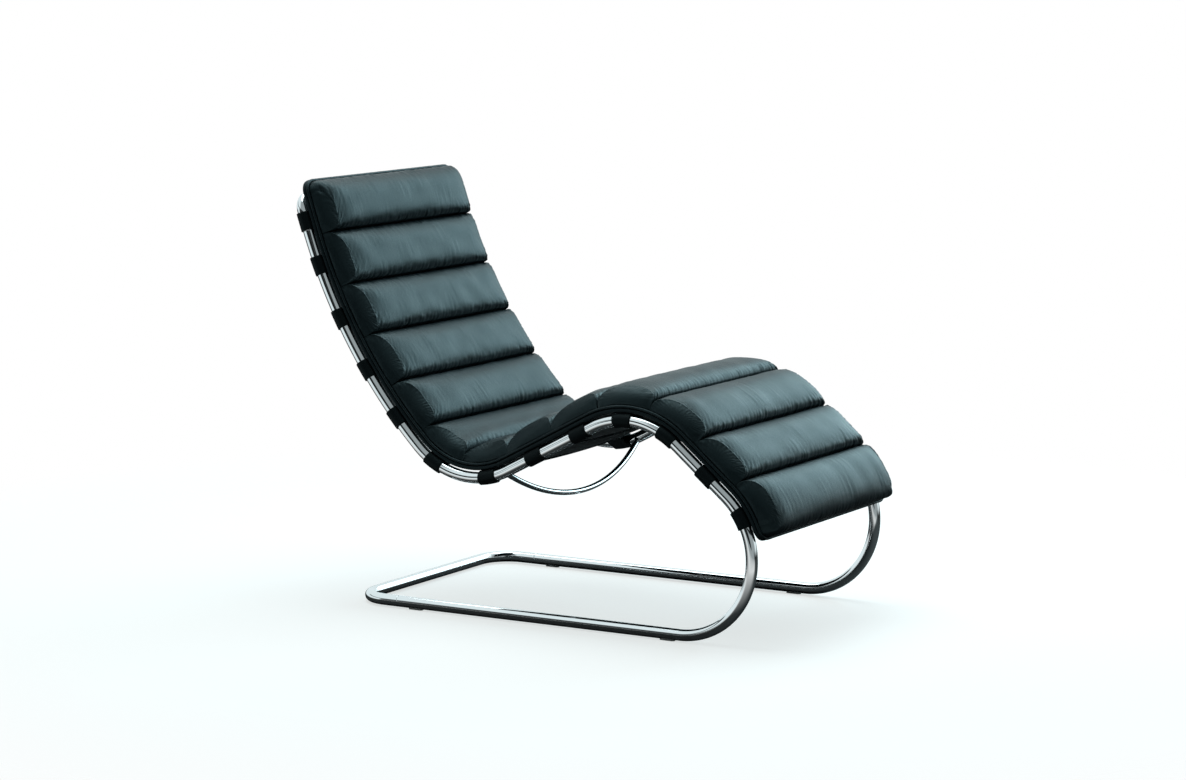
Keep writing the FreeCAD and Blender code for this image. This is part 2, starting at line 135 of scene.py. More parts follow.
@dataclass(frozen=True)
class RailLine:
    """Centreline of a side rail, and the places and distances that follow from it.

    A level is a height above the line on the cushion's side.
    """

    tube: float = 25.4 * MM
    wall: float = 2.0 * MM
    spacing: float = 572.0 * MM
    glide: float = 2.0 * MM
    rear_radius: float = 70.0 * MM
    rear_leg: float = 40.0 * MM
    base: float = 824.2 * MM
    foot_radius: float = 171.4 * MM
    foot_turn: float = math.radians(140.0)
    shin: float = 155.9 * MM
    knee_radius: float = 183.9 * MM
    knee_turn: float = math.radians(67.3)
    thigh: float = 240.4 * MM
    seat_radius: float = 198.5 * MM
    seat_turn: float = math.radians(72.2)
    back_radius: float = 1192.0 * MM
    back: float = 548.6 * MM
    head_radius: float = 32.0 * MM
    head_leg: float = 42.0 * MM

    @property
    def radius(self) -> float:
        """Outer radius of the tube."""
        return self.tube / 2

    @property
    def half(self) -> float:
        """Distance from the middle of the chair to a rail's centreline."""
        return self.spacing / 2

    @cached_property
    def chain(self) -> Chain:
        """The line from the rear joint of the runner to the joint at the head, along X and Z.

        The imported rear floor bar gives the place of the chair's rear along X.
        """
        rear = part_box("rear_floor_bar")[0][0] + self.radius + self.rear_radius + self.rear_leg
        return Chain((rear, self.radius + self.glide, 0.0), (
            (self.base - self.rear_radius - self.rear_leg, 0.0),
            (self.foot_radius * self.foot_turn, 1 / self.foot_radius),
            (self.shin, 0.0),
            (self.knee_radius * self.knee_turn, 1 / self.knee_radius),
            (self.thigh, 0.0),
            (self.seat_radius * self.seat_turn, -1 / self.seat_radius),
            (self.back, -1 / self.back_radius),
        ))

    @property
    def shin_start(self) -> float:
        """Arc length at which the foot bend ends."""
        return float(self.chain.marks[2])

    @property
    def seat_start(self) -> float:
        """Arc length at which the seat bend starts."""
        return float(self.chain.marks[5])

    @property
    def end(self) -> float:
        """Arc length at which the rail meets the top cross bar."""
        return self.chain.length

    def pose(self, s: np.ndarray) -> tuple[np.ndarray, np.ndarray, np.ndarray]:
        """Place along X, height and heading at arc lengths s, straight past the joint at the head."""
        s = np.asarray(s, dtype=float)
        x, z, heading = self.chain.pose(np.minimum(s, self.end))
        beyond = np.maximum(s - self.end, 0.0)
        return x + beyond * np.cos(heading), z + beyond * np.sin(heading), heading

    def place(self, s: np.ndarray, level: np.ndarray, y: np.ndarray) -> np.ndarray:
        """Points at arc length s along the rail, raised to a level, at y across the chair."""
        x, z, heading = self.pose(s)
        place = np.broadcast_arrays(x + level * np.sin(heading), y, z - level * np.cos(heading))
        return np.stack(place, axis=-1)

    def tangent(self, s: np.ndarray) -> np.ndarray:
        """Unit directions of the rail at arc lengths s."""
        heading = self.pose(s)[2]
        return np.stack([np.cos(heading), np.zeros_like(heading), np.sin(heading)], axis=-1)

    def normal(self, s: np.ndarray) -> np.ndarray:
        """Unit directions from the rail to the cushion at arc lengths s."""
        heading = self.pose(s)[2]
        return np.stack([np.sin(heading), np.zeros_like(heading), -np.cos(heading)], axis=-1)

    def unrolled(self, level: float) -> tuple[np.ndarray, np.ndarray]:
        """Arc lengths of the run ends, and the distances to them along the curve at a level."""
        past_head = 1.0
        stretched = [length * (1 + level * bend) for length, bend in self.chain.runs]
        distances = np.concatenate([[0.0], np.cumsum(stretched + [past_head])])
        return np.append(self.chain.marks, self.end + past_head), distances

    def distance(self, s: np.ndarray, level: float) -> np.ndarray:
        """Distance along the curve at a level from the start of the line to arc length s."""
        return np.interp(s, *self.unrolled(level))

    def arc_at(self, distance: np.ndarray, level: float) -> np.ndarray:
        """Arc length of the rail at a distance along the curve at a level."""
        marks, distances = self.unrolled(level)
        return np.interp(distance, distances, marks)


@dataclass(frozen=True)
class Layers:
    """Levels of the belts and of the cushion above a rail's centreline."""

    rail: RailLine
    clearance: float = 0.3 * MM
    belt: float = 3.0 * MM
    base: float = 10.0 * MM
    piping: float = 6.4 * MM
    deepest: float = 17.0 * MM
    hollow_after: float = 420.0 * MM
    hollow_reach: float = 310.0 * MM

    def sag(self, s: np.ndarray) -> np.ndarray:
        """How deep the belts hang between the rails: a bell curve round the seat, exp(-((s - m) / w)^2)."""
        middle = self.rail.shin_start + self.hollow_after
        return np.maximum(self.deepest * np.exp(-((s - middle) / self.hollow_reach) ** 2), 0.2 * MM)

    def hanging(self, s: np.ndarray, y: np.ndarray) -> np.ndarray:
        """Level of the panel's underside: flat over the rails, and on the belts' arcs between them.

        Two rails' arcs of radius r and the belt's arc of radius R touch: with the sag g and half
        the rails' spacing h, R + r = (h^2 + g^2) / 2g, and the arc's centre is at R + r - g.

        Args:
            s: Arc length of the rail.
            y: Place across the chair.

        Returns:
            The level above the rails' centreline.
        """
        sag = self.sag(s)
        centres = (self.rail.half ** 2 + sag ** 2) / (2 * sag)
        arc = centres - self.belt_outer
        level = centres - sag - np.sqrt(arc ** 2 - np.minimum(np.abs(y), self.rail.half) ** 2)
        return np.minimum(self.base_under, level + self.clearance)

    @property
    def belt_inner(self) -> float:
        """Level of a belt's inner face."""
        return self.rail.radius + self.clearance

    @property
    def belt_outer(self) -> float:
        """Level of a belt's outer face."""
        return self.belt_inner + self.belt

    @property
    def base_under(self) -> float:
        """Level of the base panel's underside."""
        return self.belt_outer + self.clearance

    @property
    def base_top(self) -> float:
        """Level of the base panel's top."""
        return self.base_under + self.base

    @property
    def roll_under(self) -> float:
        """Level of the rolls' underside."""
        return self.base_top + self.clearance

    @property
    def piping_level(self) -> float:
        """Level of the piping's centreline."""
        return self.roll_under + self.piping / 2


@dataclass(frozen=True)
class Ripple:
    """Smooth random relief over a surface: a sum of cosine waves with seeded lengths and headings.

    The height is the sum of cos(2 pi (u cos(a) / w + v sin(a) / (w r)) + p) over the waves, scaled
    to a mean square of one, where w is a wave's length, a its heading, p its phase and r the
    stretch, by which features are longer along v than along u.
    """

    seed: int
    shortest: float
    longest: float
    stretch: float = 1.0
    waves: int = 22

    def height(self, u: np.ndarray, v: np.ndarray) -> np.ndarray:
        """Relief at places u, v in metres, with a mean square of about one."""
        random = np.random.default_rng(self.seed)
        length = self.shortest * (self.longest / self.shortest) ** random.random(self.waves)
        heading = random.random(self.waves) * 2 * np.pi
        phase = random.random(self.waves) * 2 * np.pi
        total = np.zeros(np.broadcast(u, v).shape)
        for one, way, start in zip(length, heading, phase):
            turn = (u * np.cos(way) + v * np.sin(way) / self.stretch) / one
            total += np.cos(2 * np.pi * turn + start)
        return total * np.sqrt(2 / self.waves)


def refined(grid: np.ndarray, axis: int, closed: bool) -> np.ndarray:
    """Double the density of a grid along one axis.

    Each new point lies at 9/16 of its two neighbours less 1/16 of the two beyond them, so that the
    old points stay and the curve through them is smooth.

    Args:
        grid: Values on a grid, with any number of axes.
        axis: Axis to refine.
        closed: Whether the axis runs round a loop.

    Returns:
        The finer grid.
    """
    grid = np.moveaxis(grid, axis, 0)
    if closed:
        padded = np.concatenate([grid[-1:], grid, grid[:2]])
    else:
        padded = np.concatenate([2 * grid[:1] - grid[1:2], grid, 2 * grid[-1:] - grid[-2:-1]])
    between = (9 * (padded[1:-2] + padded[2:-1]) - padded[:-3] - padded[3:]) / 16
    finer = np.empty((len(grid) + len(between),) + grid.shape[1:])
    finer[0::2] = grid
    finer[1::2] = between
    return np.moveaxis(finer, 0, axis)


def outward(points: np.ndarray, close_rows: bool) -> np.ndarray:
    """Unit normals of a grid whose columns run round a loop, from the cross product of its slopes.

    Args:
        points: Grid of points, rows by columns by three.
        close_rows: Whether the rows run round a loop too.

    Returns:
        Grid of unit normals.
    """
    if close_rows:
        along = np.roll(points, -1, axis=0) - np.roll(points, 1, axis=0)
    else:
        along = np.gradient(points, axis=0)
    across = np.roll(points, -1, axis=1) - np.roll(points, 1, axis=1)
    normals = np.cross(along, across)
    return normals / np.maximum(np.linalg.norm(normals, axis=-1, keepdims=True), 1e-12)


def skin(
    name: str,
    points: np.ndarray,
    close_rows: bool = False,
    chart: tuple[np.ndarray, np.ndarray] | None = None,
    fields: dict[str, np.ndarray] | None = None,
) -> bpy.types.Object:
    """Make a closed mesh from a grid of points whose columns run round a loop.

    Quads join neighbouring points. Where the rows don't close, a fan of triangles to the middle of
    the first and last rows closes the two ends. The signed volume says which way the faces point,
    and they are turned outwards.

    Args:
        name: Name of the object.
        points: Grid of points, rows by columns by three.
        close_rows: Whether the last row joins the first.
        chart: Distances along the rows and along the columns for the UV map, each with one more
            value where its axis closes.
        fields: Values on the grid that are kept as named attributes of the points.

    Returns:
        The new object, at the origin.
    """
    rows, columns = points.shape[:2]
    spans = rows if close_rows else rows - 1
    i, j = np.meshgrid(np.arange(spans), np.arange(columns), indexing="ij")
    corners = [(i, j), (i + 1, j), (i + 1, j + 1), (i, j + 1)]
    quads = np.stack([(a % rows) * columns + b % columns for a, b in corners], axis=-1).reshape(-1, 4)
    vertices = points.reshape(-1, 3)
    ends = []
    if not close_rows:
        vertices = np.concatenate([vertices, points[:1].mean(axis=1), points[-1:].mean(axis=1)])
        round_row = np.arange(columns)
        first = np.stack([round_row, np.roll(round_row, -1), np.full(columns, rows * columns)], axis=-1)
        last_row = round_row + (rows - 1) * columns
        last = np.stack([np.roll(last_row, -1), last_row, np.full(columns, rows * columns + 1)], axis=-1)
        ends = [first, last]
    triangles = np.concatenate(ends) if ends else np.zeros((0, 3), dtype=int)
    halves = np.concatenate([quads[:, [0, 1, 2]], quads[:, [0, 2, 3]], triangles])
    a, b, c = (vertices[halves[:, corner]] for corner in range(3))
    inside_out = np.einsum("ij,ij->i", a, np.cross(b, c)).sum() < 0
    if inside_out:
        quads, triangles = quads[:, ::-1], triangles[:, ::-1]
    loops = np.concatenate([quads.ravel(), triangles.ravel()]).astype(np.int32)
    sizes = np.concatenate([np.full(len(quads), 4), np.full(len(triangles), 3)])
    mesh = bpy.data.meshes.new(name)
    mesh.vertices.add(len(vertices))
    mesh.vertices.foreach_set("co", vertices.astype(np.float32).ravel())
    mesh.loops.add(len(loops))
    mesh.loops.foreach_set("vertex_index", loops)
    mesh.polygons.add(len(sizes))
    mesh.polygons.foreach_set("loop_start", np.concatenate([[0], np.cumsum(sizes)[:-1]]).astype(np.int32))
    mesh.polygons.foreach_set("use_smooth", np.ones(len(sizes), dtype=bool))
    if chart is not None:
        u, v = chart
        turned = corners[::-1] if inside_out else corners
        quad_uv = np.stack([np.stack([u[p], v[q]], axis=-1) for p, q in turned], axis=2)
        end_uv = []
        for fan, edge in zip(ends, (u[0], u[-1])):
            place = np.full((len(fan), 3, 2), edge)
            place[:, :, 1] = v[:columns, None]
            end_uv.append(place.ravel())
        layer = mesh.uv_layers.new(name="surface")
        layer.data.foreach_set("uv", np.concatenate([quad_uv.ravel()] + end_uv).astype(np.float32))
    for label, values in (fields or {}).items():
        flat = values.ravel()
        if not close_rows:
            flat = np.concatenate([flat, [values[0].mean(), values[-1].mean()]])
        mesh.attributes.new(label, "FLOAT", "POINT").data.foreach_set("value", flat.astype(np.float32))
    mesh.update(calc_edges=True)
    mesh.validate()
    piece = bpy.data.objects.new(name, mesh)
    bpy.context.scene.collection.objects.link(piece)
    return piece


def pipe(
    path: np.ndarray,
    ahead: np.ndarray,
    aside: np.ndarray,
    outer: float,
    inner: float,
    sides: int = 56,
    rounding: float = 0.4 * MM,
) -> np.ndarray:
    """Rings of a tube with a wall along a plane path, its two end edges rounded a little.

    A ring is its centre plus radius times (cos(t) n + sin(t) b), where b is the direction across
    the path's plane and n is b crossed with the path's direction. The rings run along the outside
    and back along the bore, so the rows close too.

    Args:
        path: Points of the centreline.
        ahead: Unit direction of the path at each point.
        aside: Unit direction across the plane of the path.
        outer: Outer radius.
        inner: Radius of the bore.
        sides: Number of points in a ring.
        rounding: Size of the rounded end edge.

    Returns:
        Grid of points whose rows and columns both close.
    """
    first, last = path[0], path[-1]
    outside = np.concatenate([
        [first, first + ahead[0] * rounding, first + ahead[0] * 3 * rounding],
        path[1:-1],
        [last - ahead[-1] * 3 * rounding, last - ahead[-1] * rounding, last],
    ])
    ways = np.concatenate([ahead[:1], ahead[:1], ahead, ahead[-1:], ahead[-1:]])
    radii = np.full(len(outside), outer)
    radii[[0, -1]] = outer - rounding
    bore = slice(None, None, -6)
    centres = np.concatenate([outside, outside[bore], [first]])
    ways = np.concatenate([ways, ways[bore], ahead[:1]])
    radii = np.concatenate([radii, np.full(len(centres) - len(radii), inner)])
    turn = np.arange(sides) * 2 * np.pi / sides
    up = np.cross(aside, ways)
    ring = np.cos(turn)[None, :, None] * up[:, None, :] + np.sin(turn)[None, :, None] * aside
    return centres[:, None, :] + radii[:, None, None] * ring


def rounded_strip(width: float, thickness: float, radius: float, arc: int = 5, flat: int = 7) -> np.ndarray:
    """Outline of a flat strip with rounded edges, as pairs of places across and through it.

    Each corner is a quarter circle, and the flats between them are divided evenly.

    Args:
        width: Width of the strip.
        thickness: Thickness of the strip.
        radius: Radius of the four corners.
        arc: Number of points in a corner.
        flat: Number of points on each long side, between its corners.

    Returns:
        Points of the outline, in order round it.
    """
    turn = np.linspace(0.0, np.pi / 2, arc)
    corner = np.stack([np.cos(turn), np.sin(turn)], axis=-1) * radius
    half = np.array([width / 2 - radius, thickness / 2 - radius])
    top = np.stack([np.linspace(half[0], -half[0], flat + 2)[1:-1], np.full(flat, thickness / 2)], axis=-1)
    right = corner + half
    left = corner[::-1] * [-1, 1] + half * [-1, 1]
    upper = np.concatenate([right, top, left])
    return np.concatenate([upper, -upper])


@dataclass(frozen=True)
class Graph:
    """A node tree, with short calls that add a node and link its inputs."""

    tree: bpy.types.NodeTree

    def add(self, kind: str, inputs: dict | None = None, **settings: object) -> bpy.types.Node:
        """Add a node.

        Args:
            kind: Type of the node.
            inputs: A value for each named or numbered input, or a socket that feeds it.
            settings: Settings of the node.

        Returns:
            The new node.
        """
        node = self.tree.nodes.new(kind)
        for name, value in settings.items():
            setattr(node, name, value)
        for name, value in (inputs or {}).items():
            if isinstance(value, bpy.types.NodeSocket):
                self.tree.links.new(value, node.inputs[name])
            else:
                node.inputs[name].default_value = value
        return node

    def math(self, operation: str, *values: float | bpy.types.NodeSocket) -> bpy.types.NodeSocket:
        """Add a math node and return its result."""
        return self.add("ShaderNodeMath", dict(enumerate(values)), operation=operation).outputs[0]

    def spread(
        self, value: bpy.types.NodeSocket, low: float, high: float, a: float, b: float,
    ) -> bpy.types.NodeSocket:
        """Map a value from low..high to a..b, held within that range."""
        inputs = {"Value": value, "From Min": low, "From Max": high, "To Min": a, "To Max": b}
        return self.add("ShaderNodeMapRange", inputs, clamp=True).outputs["Result"]


class Effect:
    """Shader groups that more than one finish places, each built the first time it is asked for."""

    @staticmethod
    def _group(
        name: str, inputs: dict[str, float | None], outputs: tuple[str, ...],
    ) -> tuple[Graph, dict, bpy.types.Node]:
        """Start a group.

        Args:
            name: Name of the group.
            inputs: Number of each input, or None for a vector.
            outputs: Names of the values that it puts out.

        Returns:
            The group's graph, its input sockets by name and its output node.
        """
        tree = bpy.data.node_groups.new(name, "ShaderNodeTree")
        for label, value in inputs.items():
            kind = "NodeSocketVector" if value is None else "NodeSocketFloat"
            socket = tree.interface.new_socket(label, in_out="INPUT", socket_type=kind)
            if value is not None:
                socket.default_value = value
        for label in outputs:
            tree.interface.new_socket(label, in_out="OUTPUT", socket_type="NodeSocketFloat")
        graph = Graph(tree)
        source = graph.add("NodeGroupInput")
        return graph, {label: source.outputs[label] for label in inputs}, graph.add("NodeGroupOutput")

    @classmethod
    def grain(cls) -> bpy.types.NodeTree:
        """Leather grain: rounded pebbles parted by fine valleys, in patches of coarser and finer skin."""
        if "leather_grain" in bpy.data.node_groups:
            return bpy.data.node_groups["leather_grain"]
        graph, given, out = cls._group(
            "leather_grain", {"Vector": None, "Pebbles": 900.0}, ("Height", "Valley"),
        )
        bent = graph.add("ShaderNodeTexNoise", {"Vector": given["Vector"], "Scale": 160.0, "Detail": 2.0})
        shift = graph.add(
            "ShaderNodeVectorMath", {0: bent.outputs["Color"], "Scale": 0.0012}, operation="SCALE",
        )
        place = graph.add("ShaderNodeVectorMath", {0: given["Vector"], 1: shift.outputs[0]}, operation="ADD")
        pebble = graph.add(
            "ShaderNodeTexVoronoi", {"Vector": place.outputs[0], "Scale": given["Pebbles"]},
            feature="DISTANCE_TO_EDGE",
        )
        dome = graph.spread(pebble.outputs["Distance"], 0.0, 0.32, 0.0, 1.0)
        fine = graph.add("ShaderNodeTexNoise", {"Vector": given["Vector"], "Scale": 3100.0, "Detail": 3.0})
        height = graph.math("ADD", dome, graph.math("MULTIPLY", fine.outputs["Fac"], 0.35))
        graph.tree.links.new(height, out.inputs["Height"])
        graph.tree.links.new(
            graph.spread(pebble.outputs["Distance"], 0.0, 0.12, 1.0, 0.0), out.inputs["Valley"],
        )
        return graph.tree

    @classmethod
    def pull(cls) -> bpy.types.NodeTree:
        """Fine wrinkles: two noises stretched along one way of the surface, cut by a slow mask."""
        if "pull_lines" in bpy.data.node_groups:
            return bpy.data.node_groups["pull_lines"]
        graph, given, out = cls._group(
            "pull_lines", {"Vector": None, "Lines": 130.0, "Stretch": 0.16}, ("Height", "Crease"),
        )
        squeezed = graph.add("ShaderNodeCombineXYZ", {0: 1.0, 1: given["Stretch"], 2: 1.0})
        place = graph.add(
            "ShaderNodeVectorMath", {0: given["Vector"], 1: squeezed.outputs[0]}, operation="MULTIPLY",
        )
        wide = graph.add(
            "ShaderNodeTexNoise",
            {"Vector": place.outputs[0], "Scale": given["Lines"], "Detail": 3.0, "Roughness": 0.55},
        )
        ridge = graph.math("ABSOLUTE", graph.math("SUBTRACT", wide.outputs["Fac"], 0.5))
        valley = graph.spread(ridge, 0.0, 0.055, 1.0, 0.0)
        slow = graph.add("ShaderNodeTexNoise", {"Vector": given["Vector"], "Scale": 17.0, "Detail": 1.0})
        mask = graph.spread(slow.outputs["Fac"], 0.42, 0.62, 0.0, 1.0)
        crease = graph.math("MULTIPLY", valley, mask)
        height = graph.math("SUBTRACT", wide.outputs["Fac"], graph.math("MULTIPLY", crease, 0.4))
        graph.tree.links.new(height, out.inputs["Height"])
        graph.tree.links.new(crease, out.inputs["Crease"])
        return graph.tree

    @classmethod
    def handling(cls) -> bpy.types.NodeTree:
        """Use and dust: broad cloudy patches, and thin short scratches that run any way."""
        if "handling_marks" in bpy.data.node_groups:
            return bpy.data.node_groups["handling_marks"]
        graph, given, out = cls._group(
            "handling_marks", {"Vector": None, "Patches": 9.0, "Scratches": 55.0}, ("Patch", "Scratch"),
        )
        broad = graph.add(
            "ShaderNodeTexNoise",
            {"Vector": given["Vector"], "Scale": given["Patches"], "Detail": 6.0, "Roughness": 0.6},
        )
        swirl = graph.add("ShaderNodeTexNoise", {"Vector": given["Vector"], "Scale": 14.0, "Detail": 1.0})
        turned = graph.add(
            "ShaderNodeVectorMath", {0: swirl.outputs["Color"], "Scale": 0.35}, operation="SCALE",
        )
        place = graph.add("ShaderNodeVectorMath", {0: given["Vector"], 1: turned.outputs[0]}, operation="ADD")
        thin = graph.add(
            "ShaderNodeVectorMath", {0: place.outputs[0], 1: (1.0, 0.07, 1.0)}, operation="MULTIPLY",
        )
        lines = graph.add(
            "ShaderNodeTexVoronoi", {"Vector": thin.outputs[0], "Scale": given["Scratches"]},
            feature="DISTANCE_TO_EDGE",
        )
        scratch = graph.math(
            "MULTIPLY",
            graph.spread(lines.outputs["Distance"], 0.0, 0.012, 1.0, 0.0),
            graph.spread(broad.outputs["Fac"], 0.5, 0.62, 0.0, 1.0),
        )
        graph.tree.links.new(graph.spread(broad.outputs["Fac"], 0.3, 0.7, 0.0, 1.0), out.inputs["Patch"])
        graph.tree.links.new(scratch, out.inputs["Scratch"])
        return graph.tree


class Finish:
    """A finish of the chair. Each one builds its material once and hands the same one out after."""

    name: str

    def material(self) -> bpy.types.Material:
        """The material of this finish, named apart from the frame's own flat material of that slot."""
        made = bpy.data.materials.get(f"{self.name}_finish")
        if made is None:
            made = bpy.data.materials.new(f"{self.name}_finish")
            made.use_nodes = True
            graph = Graph(made.node_tree)
            graph.tree.nodes.clear()
            shader = graph.add("ShaderNodeBsdfPrincipled")
            graph.add("ShaderNodeOutputMaterial", {"Surface": shader.outputs["BSDF"]})
            self.paint(graph, shader)
        return made

    def paint(self, graph: Graph, shader: bpy.types.Node) -> None:
        """Set the shader's constants and lay the finish's pattern into it."""
        raise NotImplementedError

    @staticmethod
    def place(graph: Graph) -> bpy.types.NodeSocket:
        """Place on the chair, in metres."""
        return graph.add("ShaderNodeTexCoord").outputs["Object"]

    @staticmethod
    def surface(graph: Graph) -> bpy.types.NodeSocket:
        """Place on the piece's own surface, in metres across the chair and round the piece."""
        return graph.add("ShaderNodeUVMap", uv_map="surface").outputs["UV"]

    @staticmethod
    def blend(graph: Graph, share: bpy.types.NodeSocket, low: tuple, high: tuple) -> bpy.types.NodeSocket:
        """Colour between two by a share from nothing to one."""
        mixed = graph.add("ShaderNodeMix", data_type="RGBA", clamp_factor=True)
        graph.tree.links.new(share, mixed.inputs[0])
        mixed.inputs[6].default_value = (*low, 1.0)
        mixed.inputs[7].default_value = (*high, 1.0)
        return mixed.outputs[2]


@dataclass(frozen=True)
class Leather(Finish):
    """Black leather: pebbled grain, pull lines along the surface, and duller or shinier patches."""

    name: str
    dark: tuple[float, float, float]
    light: tuple[float, float, float]
    dull: float
    shiny: float
    pebbles: float = 900.0
    grain_depth: float = 0.05 * MM
    pull_depth: float = 0.14 * MM
    lines: float = 130.0
    specular: float = 0.36

    def paint(self, graph: Graph, shader: bpy.types.Node) -> None:
        """Lay grain and pull lines into the bump, and the patches into colour and roughness."""
        shader.inputs["Specular IOR Level"].default_value = self.specular
        shader.inputs["Specular Tint"].default_value = (0.60, 0.93, 1.0, 1.0)
        place = self.place(graph)
        grain = graph.add("ShaderNodeGroup", node_tree=Effect.grain())
        pull = graph.add("ShaderNodeGroup", node_tree=Effect.pull())
        marks = graph.add("ShaderNodeGroup", node_tree=Effect.handling())
        graph.tree.links.new(place, grain.inputs["Vector"])
        graph.tree.links.new(self.surface(graph), pull.inputs["Vector"])
        graph.tree.links.new(place, marks.inputs["Vector"])
        grain.inputs["Pebbles"].default_value = self.pebbles
        pull.inputs["Lines"].default_value = self.lines
        worn = graph.math(
            "ADD", graph.math("MULTIPLY", marks.outputs["Patch"], 0.8),
            graph.math("MULTIPLY", pull.outputs["Crease"], 0.25),
        )
        graph.tree.links.new(self.blend(graph, worn, self.dark, self.light), shader.inputs["Base Color"])
        rough = graph.spread(worn, 0.0, 1.0, self.shiny, self.dull)
        rough = graph.math("ADD", rough, graph.math("MULTIPLY", grain.outputs["Valley"], 0.08))
        graph.tree.links.new(rough, shader.inputs["Roughness"])
        folds = graph.add(
            "ShaderNodeBump",
            {"Height": pull.outputs["Height"], "Distance": self.pull_depth, "Strength": 1.0},
        )
        skin_bump = graph.add(
            "ShaderNodeBump",
            {"Height": grain.outputs["Height"], "Distance": self.grain_depth, "Strength": 1.0,
             "Normal": folds.outputs["Normal"]},
        )
        graph.tree.links.new(skin_bump.outputs["Normal"], shader.inputs["Normal"])


@dataclass(frozen=True)
class Metal(Finish):
    """Bare or plated metal: a polish broken by faint cloudy patches and thin scratches."""

    name: str
    clean: tuple[float, float, float]
    marked: tuple[float, float, float]
    polish: float
    haze: float

    def paint(self, graph: Graph, shader: bpy.types.Node) -> None:
        """Lay the patches and scratches into roughness and, faintly, into colour and bump."""
        shader.inputs["Metallic"].default_value = 1.0
        marks = graph.add("ShaderNodeGroup", node_tree=Effect.handling())
        graph.tree.links.new(self.place(graph), marks.inputs["Vector"])
        marks.inputs["Patches"].default_value = 14.0
        marks.inputs["Scratches"].default_value = 90.0
        wear = graph.math(
            "MAXIMUM", graph.math("MULTIPLY", marks.outputs["Patch"], 0.45), marks.outputs["Scratch"],
        )
        graph.tree.links.new(graph.spread(wear, 0.0, 1.0, self.polish, self.haze), shader.inputs["Roughness"])
        graph.tree.links.new(self.blend(graph, wear, self.clean, self.marked), shader.inputs["Base Color"])


@dataclass(frozen=True)
class Moulding(Finish):
    """Matte moulded plastic: a fine spark texture and dust rubbed in from below."""

    name: str
    dark: tuple[float, float, float]
    dusty: tuple[float, float, float]
    roughness: float

    def paint(self, graph: Graph, shader: bpy.types.Node) -> None:
        """Lay the spark texture into the bump and the dust into colour and roughness."""
        place = self.place(graph)
        marks = graph.add("ShaderNodeGroup", node_tree=Effect.handling())
        graph.tree.links.new(place, marks.inputs["Vector"])
        graph.tree.links.new(
            self.blend(graph, marks.outputs["Patch"], self.dark, self.dusty), shader.inputs["Base Color"],
        )
        graph.tree.links.new(
            graph.spread(marks.outputs["Patch"], 0.0, 1.0, self.roughness, 0.8), shader.inputs["Roughness"],
        )
        spark = graph.add("ShaderNodeTexNoise", {"Vector": place, "Scale": 2600.0, "Detail": 2.0})
        bump = graph.add(
            "ShaderNodeBump", {"Height": spark.outputs["Fac"], "Distance": 0.06 * MM, "Strength": 1.0},
        )
        graph.tree.links.new(bump.outputs["Normal"], shader.inputs["Normal"])


class Palette(Enum):
    """The chair's finishes."""

    CHROME = Metal("chrome", (0.90, 0.91, 0.92), (0.80, 0.81, 0.82), 0.035, 0.11)
    STEEL = Metal("drawn_steel", (0.55, 0.56, 0.57), (0.38, 0.37, 0.36), 0.28, 0.5)
    STUD = Metal("black_stud", (0.10, 0.10, 0.11), (0.26, 0.26, 0.27), 0.30, 0.45)
    PLASTIC = Moulding("glide_plastic", (0.72, 0.72, 0.70), (0.60, 0.59, 0.56), 0.50)
    BELT = Leather(
        "belt_leather", (0.0012, 0.0015, 0.0018), (0.004, 0.0045, 0.005), 0.58, 0.46, pebbles=1300.0,
        pull_depth=0.10 * MM, specular=0.12,
    )
    ROLL = Leather("roll_leather", (0.002, 0.004, 0.005), (0.006, 0.011, 0.013), 0.46, 0.36, specular=0.30)
    PANEL = Leather(
        "panel_leather", (0.0015, 0.003, 0.004), (0.005, 0.008, 0.010), 0.54, 0.44, pull_depth=0.22 * MM,
        specular=0.20,
    )
    PIPING = Leather(
        "piping_leather", (0.0015, 0.003, 0.004), (0.005, 0.008, 0.010), 0.40, 0.32, pull_depth=0.12 * MM,
        specular=0.25,
    )

    @property
    def material(self) -> bpy.types.Material:
        """Material of the finish."""
        return self.value.material()


class Workshop:
    """Puts finished pieces on the chair: body, replaced node and material in one place."""

    @staticmethod
    def fit(piece: bpy.types.Object, node: str, slot: str, material: bpy.types.Material) -> bpy.types.Object:
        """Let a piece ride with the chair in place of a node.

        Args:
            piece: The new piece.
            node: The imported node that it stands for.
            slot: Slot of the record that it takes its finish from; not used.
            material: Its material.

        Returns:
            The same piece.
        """
        piece.data.materials.append(material)
        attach(piece, Body.CHAIR.value)
        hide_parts(node)
        log.info("%s: %d faces", piece.name, len(piece.data.polygons))
        return piece

    @staticmethod
    def dress(nodes: Iterable[str], material: bpy.types.Material) -> None:
        """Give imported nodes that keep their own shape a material."""
        for node in nodes:
            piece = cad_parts[node]
            if not piece.material_slots:
                piece.data.materials.append(material)
            for place in piece.material_slots:
                place.material = material
            log.info("%s: packed shape kept", node)


